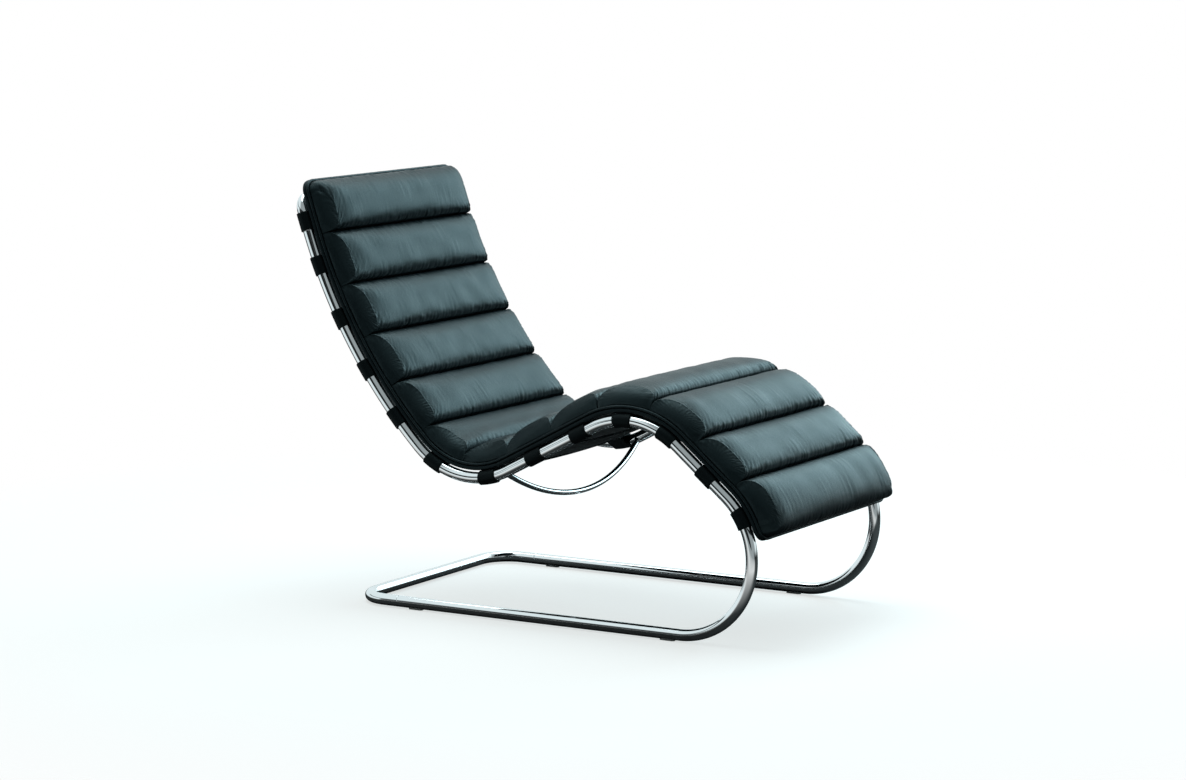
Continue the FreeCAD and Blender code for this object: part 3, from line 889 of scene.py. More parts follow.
@dataclass(frozen=True)
class Tubework:
    """The chrome frame: two side rails, the rear and top cross bars and the bowed spreader."""

    rail: RailLine
    step: float = 5.0 * MM
    spreader_tube: float = 12.7 * MM
    spreader_wall: float = 1.6 * MM
    spreader_sag: float = 82.0 * MM
    spreader_lean: float = math.radians(17.4)
    spreader_setback: float = 9.2 * MM
    weld: float = 1.6 * MM
    weld_reach: float = 3.0 * MM

    def side_rail(self, side: Side) -> bpy.types.Object:
        """One rail, a tube carried along the rail line.

        Args:
            side: Side of the chair.

        Returns:
            The rail.
        """
        s = self.rail.chain.spread(self.step)
        path = self.rail.place(s, 0.0, side.value * self.rail.half)
        points = pipe(path, self.rail.tangent(s), np.array([0.0, 1.0, 0.0]), self.rail.radius, self.bore)
        return skin(f"rail_{side.label}", points, close_rows=True)

    @property
    def bore(self) -> float:
        """Radius of the bore of the main tube."""
        return self.rail.radius - self.rail.wall

    def cross_bar(self, name: str, s: float, way: float, radius: float, leg: float) -> bpy.types.Object:
        """A bar that joins the two rails: a leg, a quarter turn, a straight run, a turn and a leg.

        Args:
            name: Name of the piece.
            s: Arc length of the joint with the rails.
            way: Plus one where the bar goes on ahead of the rails' end, minus one behind their start.
            radius: Radius of the two turns.
            leg: Length of the straight leg at each rail.

        Returns:
            The bar.
        """
        quarter = (math.pi / 2 * radius, 1 / radius)
        runs = ((leg, 0.0), quarter, (2 * (self.rail.half - radius), 0.0), quarter, (leg, 0.0))
        chain = Chain((0.0, -self.rail.half, 0.0), runs)
        out, across, heading = chain.pose(chain.spread(self.step))
        along = self.rail.tangent(s) * way
        sideways = np.array([0.0, 1.0, 0.0])
        path = self.rail.place(s, 0.0, 0.0) + out[:, None] * along + across[:, None] * sideways
        ahead = np.cos(heading)[:, None] * along + np.sin(heading)[:, None] * sideways
        points = pipe(path, ahead, np.cross(along, sideways), self.rail.radius, self.bore)
        return skin(name, points, close_rows=True)

    def spreader(self) -> bpy.types.Object:
        """The thin bowed tube under the seat, cut to the rails at both ends and welded there.

        The bow is the circle through the two rails and the lowest point. Each point of an end ring
        slides along the tube to where it meets the rail: with q its offset from the rail's axis and
        t the tube's direction, both taken square to the axis, it is the root of |q + d t| = R.

        Returns:
            The spreader.
        """
        half, sag = self.rail.half, self.spreader_sag
        bow = (half ** 2 + sag ** 2) / (2 * sag)
        swing = math.asin(half / bow)
        s = self.rail.seat_start + self.spreader_setback
        down = np.array([math.sin(self.spreader_lean), 0.0, -math.cos(self.spreader_lean)])
        sideways = np.array([0.0, 1.0, 0.0])
        chain = Chain((-half, 0.0, swing), ((2 * swing * bow, -1 / bow),))
        reach = self.rail.radius * 0.9
        places = np.linspace(reach, chain.length - reach, 140)
        across, low, heading = chain.pose(places)
        path = self.rail.place(s, 0.0, 0.0) + across[:, None] * sideways + low[:, None] * down
        ahead = np.cos(heading)[:, None] * sideways + np.sin(heading)[:, None] * down
        radius = self.spreader_tube / 2
        points = pipe(path, ahead, np.cross(sideways, down), radius, radius - self.spreader_wall, sides=40)
        axis = self.rail.tangent(s)
        for row, side, way in ((0, Side.NEAR, ahead[0]), (len(places) + 3, Side.FAR, -ahead[-1])):
            centre = self.rail.place(s, 0.0, side.value * half)
            offset = points[row] - centre
            offset = offset - (offset @ axis)[:, None] * axis
            square = way - (way @ axis) * axis
            a, b = square @ square, 2 * offset @ square
            c = (offset ** 2).sum(axis=1) - self.rail.radius ** 2
            slide = (-b + np.sqrt(np.maximum(b ** 2 - 4 * a * c, 0.0))) / (2 * a)
            moved = points[row] + slide[:, None] * way
            middle = moved.mean(axis=0)
            spreading = (moved - middle) / np.linalg.norm(moved - middle, axis=1, keepdims=True)
            inward = 1 if row == 0 else -1
            points[row] = moved + spreading * self.weld
            points[row + inward] = moved + way * self.weld_reach * 0.4 + spreading * self.weld * 0.35
            points[row + 2 * inward] = moved + way * self.weld_reach
        return skin("spreader", points, close_rows=True)

    def build(self) -> None:
        """Make every tube, chrome them, and dress the sleeves inside the joints and the glides."""
        polish = Palette.CHROME.material
        for side in Side:
            Workshop.fit(self.side_rail(side), f"side_rail_{side.label}", "rail_chrome", polish)
        rear = self.cross_bar("rear_bar", 0.0, -1.0, self.rail.rear_radius, self.rail.rear_leg)
        Workshop.fit(rear, "rear_floor_bar", "bar_chrome", polish)
        top = self.cross_bar("top_bar", self.rail.end, 1.0, self.rail.head_radius, self.rail.head_leg)
        Workshop.fit(top, "top_cross_bar", "bar_chrome", polish)
        Workshop.fit(self.spreader(), "seat_spreader", "spreader_chrome", polish)
        sleeves = [f"{end}_sleeve_{side.label}" for end in ("floor", "head") for side in Side]
        Workshop.dress(sleeves, Palette.STEEL.material)
        glides = [f"floor_glide_{end}_{side.label}" for end in ("rear", "front") for side in Side]
        Workshop.dress(glides, Palette.PLASTIC.material)


@dataclass(frozen=True)
class Belts:
    """Thirteen straps, each drawn over both rails, its ends brought round them and lapped inside."""

    layers: Layers
    width: float = 42.0 * MM
    lap: float = 40.0 * MM
    climb: float = math.radians(32.0)
    fold: float = 9.0 * MM
    edge: float = 1.1 * MM

    def path(self, sag: float) -> Chain:
        """Middle line of the strap across the chair: Y and level, from its near end to its far end.

        The end lies lapped under the top run. From there the strap slopes down to the rail, where
        it touches it, and goes round below and outside it. Over the rail it turns into the arc that
        hangs between the rails, and it ends at the other rail the same way.

        Args:
            sag: Depth of the hanging arc.

        Returns:
            The line.
        """
        layers = self.layers
        level = layers.belt_inner - layers.clearance - layers.belt / 2
        radius = layers.belt_inner + layers.belt / 2
        corner = (radius + level * math.cos(self.climb)) / math.sin(self.climb)
        slope = math.sqrt(corner ** 2 + level ** 2 - radius ** 2)
        trim = self.fold * math.tan(self.climb / 2)
        lapped = (self.lap - trim, 0.0)
        bend = (self.climb * self.fold, 1 / self.fold)
        sloping = (slope - trim, 0.0)
        centres = (layers.rail.half ** 2 + sag ** 2) / (2 * sag)
        lean = math.asin(layers.rail.half / centres)
        round_rail = ((math.pi + self.climb + lean) * radius, -1 / radius)
        over = (2 * lean * (centres - radius), 1 / (centres - radius))
        start = (corner + self.lap - layers.rail.half, level, math.pi)
        return Chain(start, (lapped, bend, sloping, round_rail, over, round_rail, sloping, bend, lapped))

    def strap(self, number: int, s: float) -> bpy.types.Object:
        """One belt: a strip with rounded edges carried along the path.

        A point of the strip at w across it and e through it lies at arc length s + w of the rail,
        and e along the path's normal, so that the strap follows the rail's bend over its width.
        The relief is a slow ripple of the strap's edges and a faint bow of the free runs.

        Args:
            number: Number of the belt, from the top of the back.
            s: Arc length of its middle.

        Returns:
            The belt.
        """
        line = self.path(float(self.layers.sag(np.array(s))))
        t = line.spread(3.2 * MM)
        y, level, heading = line.pose(t)
        section = rounded_strip(self.width, self.layers.belt, self.edge)
        wander = Ripple(seed=700 + number, shortest=90 * MM, longest=260 * MM)
        across = section[None, :, 0] + 0.35 * MM * wander.height(t, 0.0)[:, None]
        through = np.broadcast_to(section[None, :, 1], across.shape)
        end = np.minimum(t, t[-1] - t)[:, None]
        tip = np.sqrt(np.clip(end / (1.2 * MM), 0.0, 1.0)) * 0.35 + 0.65
        points = self.layers.rail.place(
            s + across * (0.97 + 0.03 * tip),
            level[:, None] + through * tip * np.cos(heading)[:, None],
            y[:, None] - through * tip * np.sin(heading)[:, None],
        )
        round_section = np.append(
            0.0, np.cumsum(np.linalg.norm(section - np.roll(section, -1, axis=0), axis=1)),
        )
        return skin(f"strap_{number:02d}", points, chart=(t, round_section))

    def build(self, places: np.ndarray) -> None:
        """Make the straps and dress the studs that close them.

        Args:
            places: Arc length of each strap, foot end first.
        """
        for index, s in enumerate(places):
            number = len(places) - index
            Workshop.fit(self.strap(number, s), f"belt_{number:02d}", "belt_leather", Palette.BELT.material)
        Workshop.dress(["belt_studs"], Palette.STUD.material)


@dataclass(frozen=True)
class RollGrid:
    """Rows and columns that a stuffed roll is laid out on.

    A row is a place across the chair: how far along the end cap it lies (reach, 1 at the cap's seam
    and beyond), its depth from that seam and its side. A column is a place round the roll: its
    fraction of the roll's width, its lift from the underside to the side seam, and whether it is
    on top.
    """

    half: float
    cap: tuple[float, ...]
    near: tuple[float, ...]
    pitch: float
    top_columns: int
    base_columns: int
    even: float

    @cached_property
    def rows(self) -> np.ndarray:
        """Reach, depth and side of every row, from the near cap to the far one."""
        first = (self.near[-1] + self.near[-1] - self.near[-2]) * MM
        inner = np.linspace(first, self.half, round((self.half - first) / self.pitch) + 1)
        depth = np.concatenate([np.zeros(len(self.cap)), np.array(self.near) * MM, inner])
        reach = np.concatenate([self.cap, np.ones(len(self.near) + len(inner))])
        near = np.column_stack([reach, depth, np.full(len(depth), Side.NEAR.value)])
        return np.concatenate([near, near[-2::-1] * [1.0, 1.0, -1.0]])

    @cached_property
    def columns(self) -> np.ndarray:
        """Fraction across the roll, lift and top mark of every column, in order round the roll.

        On top the fraction blends an even division with (1 - cos t) / 2, which crowds the seams.
        """
        step = np.linspace(0.0, 1.0, self.top_columns)
        crowded = 0.5 - 0.5 * np.cos(np.pi * step)
        over = self.even * step + (1 - self.even) * crowded
        top = np.stack([over, np.ones(len(step)), np.ones(len(step))], axis=-1)
        down = np.array([[1.0, 0.6, 0.0], [1.0, 0.25, 0.0]])
        back = np.linspace(1.0, 0.0, self.base_columns)
        under = np.stack([back, np.zeros(len(back)), np.zeros(len(back))], axis=-1)
        up = np.array([[0.0, 0.25, 0.0], [0.0, 0.6, 0.0]])
        return np.concatenate([top, down, under, up])

    @property
    def across(self) -> np.ndarray:
        """One coordinate for the rows, rising from the near cap's middle to the far cap's."""
        reach, depth, side = self.rows.T
        return side * (self.half - depth + (1 - reach) * 40 * MM)


@dataclass(frozen=True)
class Stuffing:
    """Cloth simulation that swells the rolls: pressure within, the seams held and no gravity."""

    pressure: float = 2.0
    frames: int = 20
    most: float = 4.0 * MM

    def settle(self, forms: list[np.ndarray], held: list[np.ndarray]) -> list[np.ndarray]:
        """Swell all forms at once and read back how far each point moved.

        Args:
            forms: Grids of points, one for each roll.
            held: For each grid, which points the stitching holds.

        Returns:
            Grids of movements, none longer than the most allowed.
        """
        pads = [
            self._pad(f"settling_{number:02d}", form, hold)
            for number, (form, hold) in enumerate(zip(forms, held))
        ]
        scene = bpy.context.scene
        for step in range(1, self.frames + 1):
            scene.frame_set(step)
        graph = bpy.context.evaluated_depsgraph_get()
        moves = []
        for pad, form in zip(pads, forms):
            mesh = pad.evaluated_get(graph).data
            places = np.empty(len(mesh.vertices) * 3, dtype=np.float32)
            mesh.vertices.foreach_get("co", places)
            move = places.reshape(-1, 3)[:form.shape[0] * form.shape[1]].reshape(form.shape) - form
            length = np.maximum(np.linalg.norm(move, axis=-1, keepdims=True), 1e-9)
            moves.append(self._evened(move * self.most * np.tanh(length / self.most) / length))
            most, mean = length.max() / MM, length.mean() / MM
            log.info("%s: moved %.1f mm at most, %.1f mm on average", pad.name, most, mean)
        scene.frame_set(1)
        for pad in pads:
            bpy.data.objects.remove(pad)
        return moves

    @staticmethod
    def _evened(move: np.ndarray) -> np.ndarray:
        """Even out a grid of movements, twice along each axis: half itself, a quarter each neighbour."""
        for axis in (0, 1, 0, 1):
            move = np.moveaxis(move, axis, 0)
            inner = 0.25 * move[:-2] + 0.5 * move[1:-1] + 0.25 * move[2:]
            move = np.moveaxis(np.concatenate([move[:1], inner, move[-1:]]), 0, axis)
        return move

    def _pad(self, name: str, form: np.ndarray, hold: np.ndarray) -> bpy.types.Object:
        """Make one mesh that the simulation swells.

        Args:
            name: Name of the mesh.
            form: Grid of points.
            hold: Which points are held.

        Returns:
            The mesh object, with its cloth modifier.
        """
        pad = skin(name, form)
        ends = [form.shape[0] * form.shape[1] + end for end in range(2)]
        group = pad.vertex_groups.new(name="held")
        group.add(np.flatnonzero(hold).tolist(), 1.0, "REPLACE")
        group.add(ends, 0.0, "REPLACE")
        cloth = pad.modifiers.new("cloth", "CLOTH")
        settings = cloth.settings
        settings.quality = 5
        settings.mass = 0.25
        settings.tension_stiffness = settings.compression_stiffness = 14.0
        settings.shear_stiffness = 6.0
        settings.bending_stiffness = 4.0
        settings.air_damping = 4.0
        settings.vertex_group_mass = group.name
        settings.use_pressure = True
        settings.uniform_pressure_force = self.pressure
        settings.effector_weights.gravity = 0.0
        cloth.collision_settings.use_collision = False
        cloth.point_cache.frame_end = self.frames
        return pad


def carried(fine: np.ndarray, coarse: np.ndarray) -> np.ndarray:
    """Weights that carry values at coarse places over to fine places, straight between neighbours."""
    return np.stack([np.interp(fine, coarse, one) for one in np.eye(len(coarse))], axis=-1)


@dataclass(frozen=True)
class Cushion:
    """The cushion: a thin base panel, piping round its edge and thirteen stuffed rolls."""

    layers: Layers
    width: float = 585.0 * MM
    foot_drop: float = 110.8 * MM
    head_overhang: float = 22.0 * MM
    count: int = 13
    corner: float = 30.0 * MM
    seam_rise: float = 12.0 * MM
    end_seam_rise: float = 8.0 * MM
    crown_rise: float = 49.0 * MM
    end_crown_rise: float = 44.0 * MM
    rounding: float = 60.0 * MM
    free_rise: float = 5.0 * MM
    foot_fullness: float = 4.6
    head_fullness: float = 2.5
    cap_bulge: float = 4.5 * MM
    cap_depth: float = 46.0 * MM
    cap_taper: float = 150.0 * MM
    cap_middle: float = 0.42
    cap_upright: float = 1.13
    bulge_top: float = 1.4
    lopsided: tuple[int, ...] = (7, 8, 9)

    @cached_property
    def foot(self) -> float:
        """Distance of the cushion's foot edge along the top of the base panel."""
        return float(
            self.layers.rail.distance(self.layers.rail.shin_start - self.foot_drop, self.layers.base_top),
        )

    @cached_property
    def head(self) -> float:
        """Distance of the cushion's head edge along the top of the base panel."""
        rail = self.layers.rail
        reach = rail.head_leg + rail.head_radius + rail.radius + self.head_overhang
        return float(rail.distance(rail.end + reach, self.layers.base_top))

    @cached_property
    def seams(self) -> np.ndarray:
        """Distances of the seams along the top of the base panel, evenly spaced from foot to head."""
        return np.linspace(self.foot, self.head, self.count + 1)

    @cached_property
    def edge(self) -> float:
        """Width of the margin outside the rolls, which holds the piping."""
        return self.layers.piping + self.layers.clearance

    def belt_places(self, belt_width: float) -> np.ndarray:
        """Arc lengths of the belts, foot end first: under the middles of the rolls, clear of the top bar."""
        rail = self.layers.rail
        middles = rail.arc_at((self.seams[1:] + self.seams[:-1]) / 2, self.layers.base_top)
        return np.minimum(middles, rail.end + rail.head_leg - belt_width / 2)

    @staticmethod
    def corner_inset(depth: np.ndarray, radius: float) -> np.ndarray:
        """How far a rounded plan corner stands back at a depth from the side: r - sqrt(r^2 - (r - d)^2)."""
        gap = np.clip(radius - depth, 0.0, None)
        return radius - np.sqrt(np.maximum(radius ** 2 - gap ** 2, 0.0))

    def swell(self, fraction: np.ndarray, number: int) -> np.ndarray:
        """Share of a roll's rise at a fraction of its width: a superellipse, (1 - |1 - 2f|^n)^(1/n).

        The stuffing has settled towards the foot side of each roll, which is squarer than its head
        side, most of all in the hollow of the seat: n differs between the two halves.
        """
        foot, head = (5.0, 2.1) if number in self.lopsided else (self.foot_fullness, self.head_fullness)
        power = np.where(fraction < 0.5, foot, head)
        return np.maximum(1 - np.abs(1 - 2 * fraction) ** power, 0.0) ** (1 / power)

    def base_panel(self) -> bpy.types.Object:
        """The thin panel under the rolls, with rounded edges and plan corners.

        A row is a section across the chair: its half width shrinks round the plan corners and its
        thickness round the two end edges. A column is a place round the section: a flat top, a
        rounded side, a flat underside and the other side. A slow and a finer ripple soften the underside.

        Returns:
            The panel.
        """
        thickness, round_edge = self.layers.base, 4.4 * MM
        ends = np.array([0.1, 0.5, 1.2, 2.2, 3.4, 4.6, 7, 10, 13.5, 17.5, 22, 26, 30]) * MM
        length = self.head - self.foot
        middle = np.linspace(36 * MM, length - 36 * MM, round(length / (7 * MM)))
        along = np.concatenate([ends, middle, length - ends[::-1]])
        depth = np.minimum(along, length - along)[:, None]
        half = self.width / 2 - self.corner_inset(depth, self.corner)
        thin = thickness / 2 - self.corner_inset(depth, round_edge)
        radius = np.minimum(round_edge, thin)
        flat = np.linspace(-1.0, 1.0, 56)
        turn = np.linspace(np.pi / 2, -np.pi / 2, 8)
        cross = np.concatenate([flat, np.ones(8), -flat, -np.ones(8)])
        out = np.concatenate([np.zeros(56), np.cos(turn), np.zeros(56), -np.cos(turn)])
        lift = np.concatenate([np.ones(56), np.sin(turn), -np.ones(56), -np.sin(turn)])
        y = (half - radius) * cross + radius * out
        rail = self.layers.rail
        arc = rail.arc_at(self.foot + along, self.layers.base_top)[:, None]
        level = self.layers.base_under + thickness / 2 + (thin - radius) * np.sign(lift) + radius * lift
        level = level + np.where(lift < -0.5, self.layers.hanging(arc, y) - self.layers.base_under, 0.0)
        slack = Ripple(seed=41, shortest=70 * MM, longest=220 * MM).height(along[:, None], y)
        tension = Ripple(seed=42, shortest=14 * MM, longest=40 * MM, stretch=3.0).height(y, along[:, None])
        inner = np.clip((half - np.abs(y)) / (20 * MM), 0.0, 1.0)
        sag = np.where(lift < -0.5, -1.0, 0.0) * inner
        level = level + sag * (0.5 * MM * (slack - 1.0) + 0.12 * MM * tension)
        points = rail.place(arc, level, y)
        chart = (along, np.append(0.0, np.cumsum(np.full(len(cross), self.width / 56))))
        return skin("base_panel", points, chart=chart)

    def piping(self) -> bpy.types.Object:
        """The piping: a cord in a leather strip, round the edge between rolls and panel.

        Its line is a rectangle with rounded corners, laid out flat and then bent along the rails.
        The ring's radius ripples a little along the cord, as a sewn strip does.

        Returns:
            The piping.
        """
        cord = self.layers.piping / 2
        half, radius = self.width / 2 - cord, self.corner - cord
        rail, level = self.layers.rail, self.layers.piping_level
        foot, head = (
            rail.distance(rail.arc_at(end, self.layers.base_top), level) for end in (self.foot, self.head)
        )
        long, wide = head - foot - 2 * self.corner, 2 * (half - radius)
        quarter = (math.pi / 2 * radius, 1 / radius)
        line = Chain((foot + self.corner, -half, 0.0), (
            (long, 0.0), quarter, (wide, 0.0), quarter, (long, 0.0), quarter, (wide, 0.0), quarter,
        ))
        t = line.spread(3.0 * MM)[:-1]
        along, y, heading = line.pose(t)
        path = rail.place(rail.arc_at(along, level), level, y)
        ahead = np.roll(path, -1, axis=0) - np.roll(path, 1, axis=0)
        ahead /= np.linalg.norm(ahead, axis=1, keepdims=True)
        up = rail.normal(rail.arc_at(along, level))
        aside = np.cross(ahead, up)
        turn = np.arange(14) * 2 * np.pi / 14
        gather = Ripple(seed=57, shortest=5 * MM, longest=16 * MM).height(t[:, None], 0.01 * turn[None, :])
        ring = np.cos(turn)[None, :, None] * up[:, None, :] + np.sin(turn)[None, :, None] * aside[:, None, :]
        points = path[:, None, :] + (cord + 0.1 * MM * gather)[..., None] * ring
        chart = (np.append(t, line.length), np.append(turn, 2 * np.pi) * cord)
        return skin("piping", points, close_rows=True, chart=chart)

    def build(self) -> None:
        soft = [
            Workshop.fit(self.base_panel(), "cushion_base", "panel_leather", Palette.PANEL.material),
            Workshop.fit(self.piping(), "edge_piping", "piping_leather", Palette.PIPING.material),
        ]
        rolls = [Roll(self, index) for index in range(self.count)]
        forms = [roll.form(roll.coarse) for roll in rolls]
        moves = Stuffing().settle(forms, [roll.held for roll in rolls])
        for roll, move in zip(rolls, moves):
            node = f"cushion_roll_{roll.number:02d}"
            soft.append(Workshop.fit(roll.build(move), node, "roll_leather", Palette.ROLL.material))


@dataclass(frozen=True)
class Creases:
    """Reliefs of the leather of one roll: how deep each kind is, and its pattern by the roll's seed."""

    seed: int
    dents: float = 0.4 * MM
    pulls: float = 0.20 * MM
    gathers: float = 0.45 * MM
    radial: float = 0.35 * MM
    fan: float = 0.42 * MM
    bead: float = 0.35 * MM
    corner_reach: float = 60 * MM
    corner_width: float = 34 * MM

    def over_crown(self, across: np.ndarray, along: np.ndarray, from_seam: np.ndarray) -> np.ndarray:
        """Slow dents that fade towards the side seams."""
        dents = Ripple(self.seed, 60 * MM, 150 * MM).height(across, along)
        return self.dents * dents * np.clip(from_seam / (25 * MM), 0, 1)

    def at_seams(self, across: np.ndarray, along: np.ndarray, from_seam: np.ndarray) -> np.ndarray:
        """Pull lines from seam to seam, in patches and strongest near the seams, and gathers beside them."""
        pulls = Ripple(self.seed + 1, 8 * MM, 22 * MM, stretch=9.0).height(across, along)
        patches = np.clip(0.5 + Ripple(self.seed + 5, 60 * MM, 160 * MM).height(across, along), 0.0, 1.6)
        pulls = self.pulls * pulls * patches * (0.3 + 0.7 * np.exp(-from_seam / (16 * MM)))
        gathers = Ripple(self.seed + 2, 6 * MM, 13 * MM, stretch=4.0).height(across, along)
        return pulls + self.gathers * gathers * np.exp(-((from_seam - 5 * MM) / (9 * MM)) ** 2)

    def slanted(self, across: np.ndarray, along: np.ndarray, side: np.ndarray) -> np.ndarray:
        """Lines that fan out from a roll's corners, laid on axes turned by the slope 3 in 4."""
        ripple = Ripple(self.seed + 4, 7 * MM, 16 * MM, stretch=6.0)
        return self.fan * ripple.height(across * 0.8 + side * along * 0.6, along * 0.8 - side * across * 0.6)

    def round_cap(self, beside_cap: np.ndarray, along: np.ndarray) -> np.ndarray:
        """Short lines square to a cap's seam, and the bead of the seam itself."""
        radial = Ripple(self.seed + 3, 7 * MM, 15 * MM, stretch=0.35).height(beside_cap, along)
        lines = self.radial * radial * np.exp(-beside_cap / (10 * MM))
        return lines + self.bead * np.exp(-(beside_cap / (1.1 * MM)) ** 2)


@dataclass(frozen=True)
class Roll:
    """One stuffed roll: a leather tube flat underneath, crowned on top, with a D shaped cap each end."""

    cushion: Cushion
    index: int

    @property
    def half(self) -> float:
        """Distance from the middle of the chair to the cap's foot."""
        return self.cushion.width / 2 - self.cushion.edge

    @cached_property
    def grid(self) -> RollGrid:
        """Rows and columns of the finished roll, crowded at its seams."""
        cap = (0.12, 0.32, 0.5, 0.65, 0.78, 0.87, 0.935, 0.975, 0.994)
        near = (0.0, 0.7, 1.6, 2.9, 4.6, 7.0, 10.2, 14.4, 19.6, 25.8, 32.8, 40.4)
        return RollGrid(self.half, cap, near, 8.0 * MM, 44, 12, 0.15)

    @cached_property
    def coarse(self) -> RollGrid:
        """Even rows and columns for the simulation."""
        return RollGrid(self.half, (0.2, 0.5, 0.8), (0.0, 6.0), 6.0 * MM, 26, 8, 0.8)

    @property
    def held(self) -> np.ndarray:
        """Points of the coarse grid that the stitching holds: all below the seams, and the caps' seams."""
        reach, depth = (self.coarse.rows[:, k, None] for k in range(2))
        fraction, top = (self.coarse.columns[None, :, k] for k in (0, 2))
        at_seam = (top < 0.5) | (fraction <= 0.0) | (fraction >= 1.0)
        return at_seam | ((reach >= 1.0) & (depth <= 0.0)) | ((reach < 1.0) & (depth < 0.0))

    @property
    def number(self) -> int:
        """Number of the roll, from the top of the back."""
        return self.cushion.count - self.index

    def form(self, grid: RollGrid) -> np.ndarray:
        """Points of the roll before its leather is wrinkled.

        The seams and the crown have the share 1 - (1 - d / L)^2 of their rise at a depth d from the
        cap to full height over the rounding L. The top lies at the seam level plus the swell times
        the rise, bent along the rail. A cap stands upright at its foot and leans in towards its
        seam with the height: its depth is the cap's depth times 1 - sqrt(1 - r^2), where r is the
        height over a little more than the crown. Its rings shrink to a middle and bulge outwards.

        Args:
            grid: Rows and columns to lay out.

        Returns:
            Grid of points, rows across the chair by columns round the roll.
        """
        cushion, layers, rail = self.cushion, self.cushion.layers, self.cushion.layers.rail
        reach, depth, side = (grid.rows[:, k, None] for k in range(3))
        fraction, lift, top = (grid.columns[None, :, k] for k in range(3))
        share = 1 - (1 - np.clip(depth / cushion.rounding, 0.0, 1.0)) ** 2
        seam = cushion.end_seam_rise + (cushion.seam_rise - cushion.end_seam_rise) * share
        crown = cushion.end_crown_rise + (cushion.crown_rise - cushion.end_crown_rise) * share
        start = cushion.seams[self.index] + layers.clearance
        finish = cushion.seams[self.index + 1] - layers.clearance
        start_seam, finish_seam = seam, seam
        inset = cushion.edge + cushion.corner_inset(depth, cushion.corner - cushion.edge)
        if self.index == 0:
            start, start_seam = cushion.foot + inset, cushion.free_rise
        if self.index == cushion.count - 1:
            finish, finish_seam = cushion.head - inset, cushion.free_rise
        side_seam = start_seam + (finish_seam - start_seam) * fraction
        height = lift * side_seam + top * (crown - side_seam) * cushion.swell(fraction, self.number)
        along = start + (finish - start) * fraction
        middle = (start + finish) / 2
        along = middle + (along - middle) * reach
        centre = crown * cushion.cap_middle
        height = centre + (height - centre) * reach
        raised = np.clip(height / (cushion.cap_upright * crown), 0.0, 1.0)
        lean = cushion.cap_depth * (1 - np.sqrt(1 - raised ** 2))
        taper = np.clip(1 - depth / cushion.cap_taper, 0.0, 1.0) ** 2
        over_piping = np.clip(height / (cushion.bulge_top * layers.piping), 0.0, 1.0)
        bulge = cushion.cap_bulge * (1 - reach ** 2) * over_piping
        y = side * (grid.half - depth - lean * taper + bulge)
        return rail.place(rail.arc_at(along, layers.base_top), layers.roll_under + height, y)

    def build(self, move: np.ndarray) -> bpy.types.Object:
        """Make the roll with its wrinkles.

        The movement of the simulation is carried over from the coarse grid. The grid is refined
        once, then moved along its normals by the sum of these reliefs: slow dents over the crown;
        pull lines that run from seam to seam, strongest near the seams; gathers along the side
        seams, round the caps and at the tips of the caps; and a bead along each cap's seam.

        Args:
            move: How far the simulation moved each point of the coarse grid.

        Returns:
            The roll.
        """
        points = self.form(self.grid)
        over = self.coarse.top_columns
        smooth = refined(refined(move[:, :over], 0, False), 1, False)
        rows = carried(self.grid.across, refined(self.coarse.across, 0, False))
        columns = carried(
            self.grid.columns[:self.grid.top_columns, 0], refined(self.coarse.columns[:over, 0], 0, False),
        )
        points[:, :self.grid.top_columns] += np.einsum("ri,cj,ijk->rck", rows, columns, smooth)
        for axis, closed in ((0, False), (1, True)):
            points = refined(points, axis, closed)
        reach, depth, side = (refined(self.grid.rows[:, k], 0, False)[:, None] for k in range(3))
        fraction, top = (refined(self.grid.columns[:, k], 0, True)[None, :] for k in (0, 2))
        top = np.clip(top, 0.0, 1.0)
        across = points[:, :, 1].mean(axis=1, keepdims=True)
        pitch = self.cushion.seams[1] - self.cushion.seams[0]
        along = fraction * pitch
        from_seam = np.minimum(along, pitch - along)
        beside_cap = np.where(reach < 1, (1 - reach) * 30 * MM, depth)
        seed = 100 + 10 * self.number
        on_top = top * np.clip(reach, 0.0, 1.0) ** 8
        creases = Creases(seed)
        relief = creases.over_crown(across, along, from_seam) + creases.at_seams(across, along, from_seam)
        relief = on_top * (relief + creases.slanted(across, along, side) * np.exp(
            -depth / creases.corner_reach,
        )
                           * np.exp(-from_seam / creases.corner_width))
        relief = relief + top * creases.round_cap(beside_cap, along)
        normals = outward(points, close_rows=False)
        if np.einsum("ijk,ijk->", normals, points - points.mean(axis=(0, 1))) < 0:
            normals = -normals
        points = points + normals * relief[..., None]
        round_roll = np.append(
            0.0, np.cumsum(np.linalg.norm(np.diff(points[len(points) // 2], axis=0), axis=1)),
        )
        chart = (across[:, 0], np.append(round_roll, round_roll[-1] + 1 * MM))
        return skin(f"roll_{self.number:02d}", points, chart=chart)


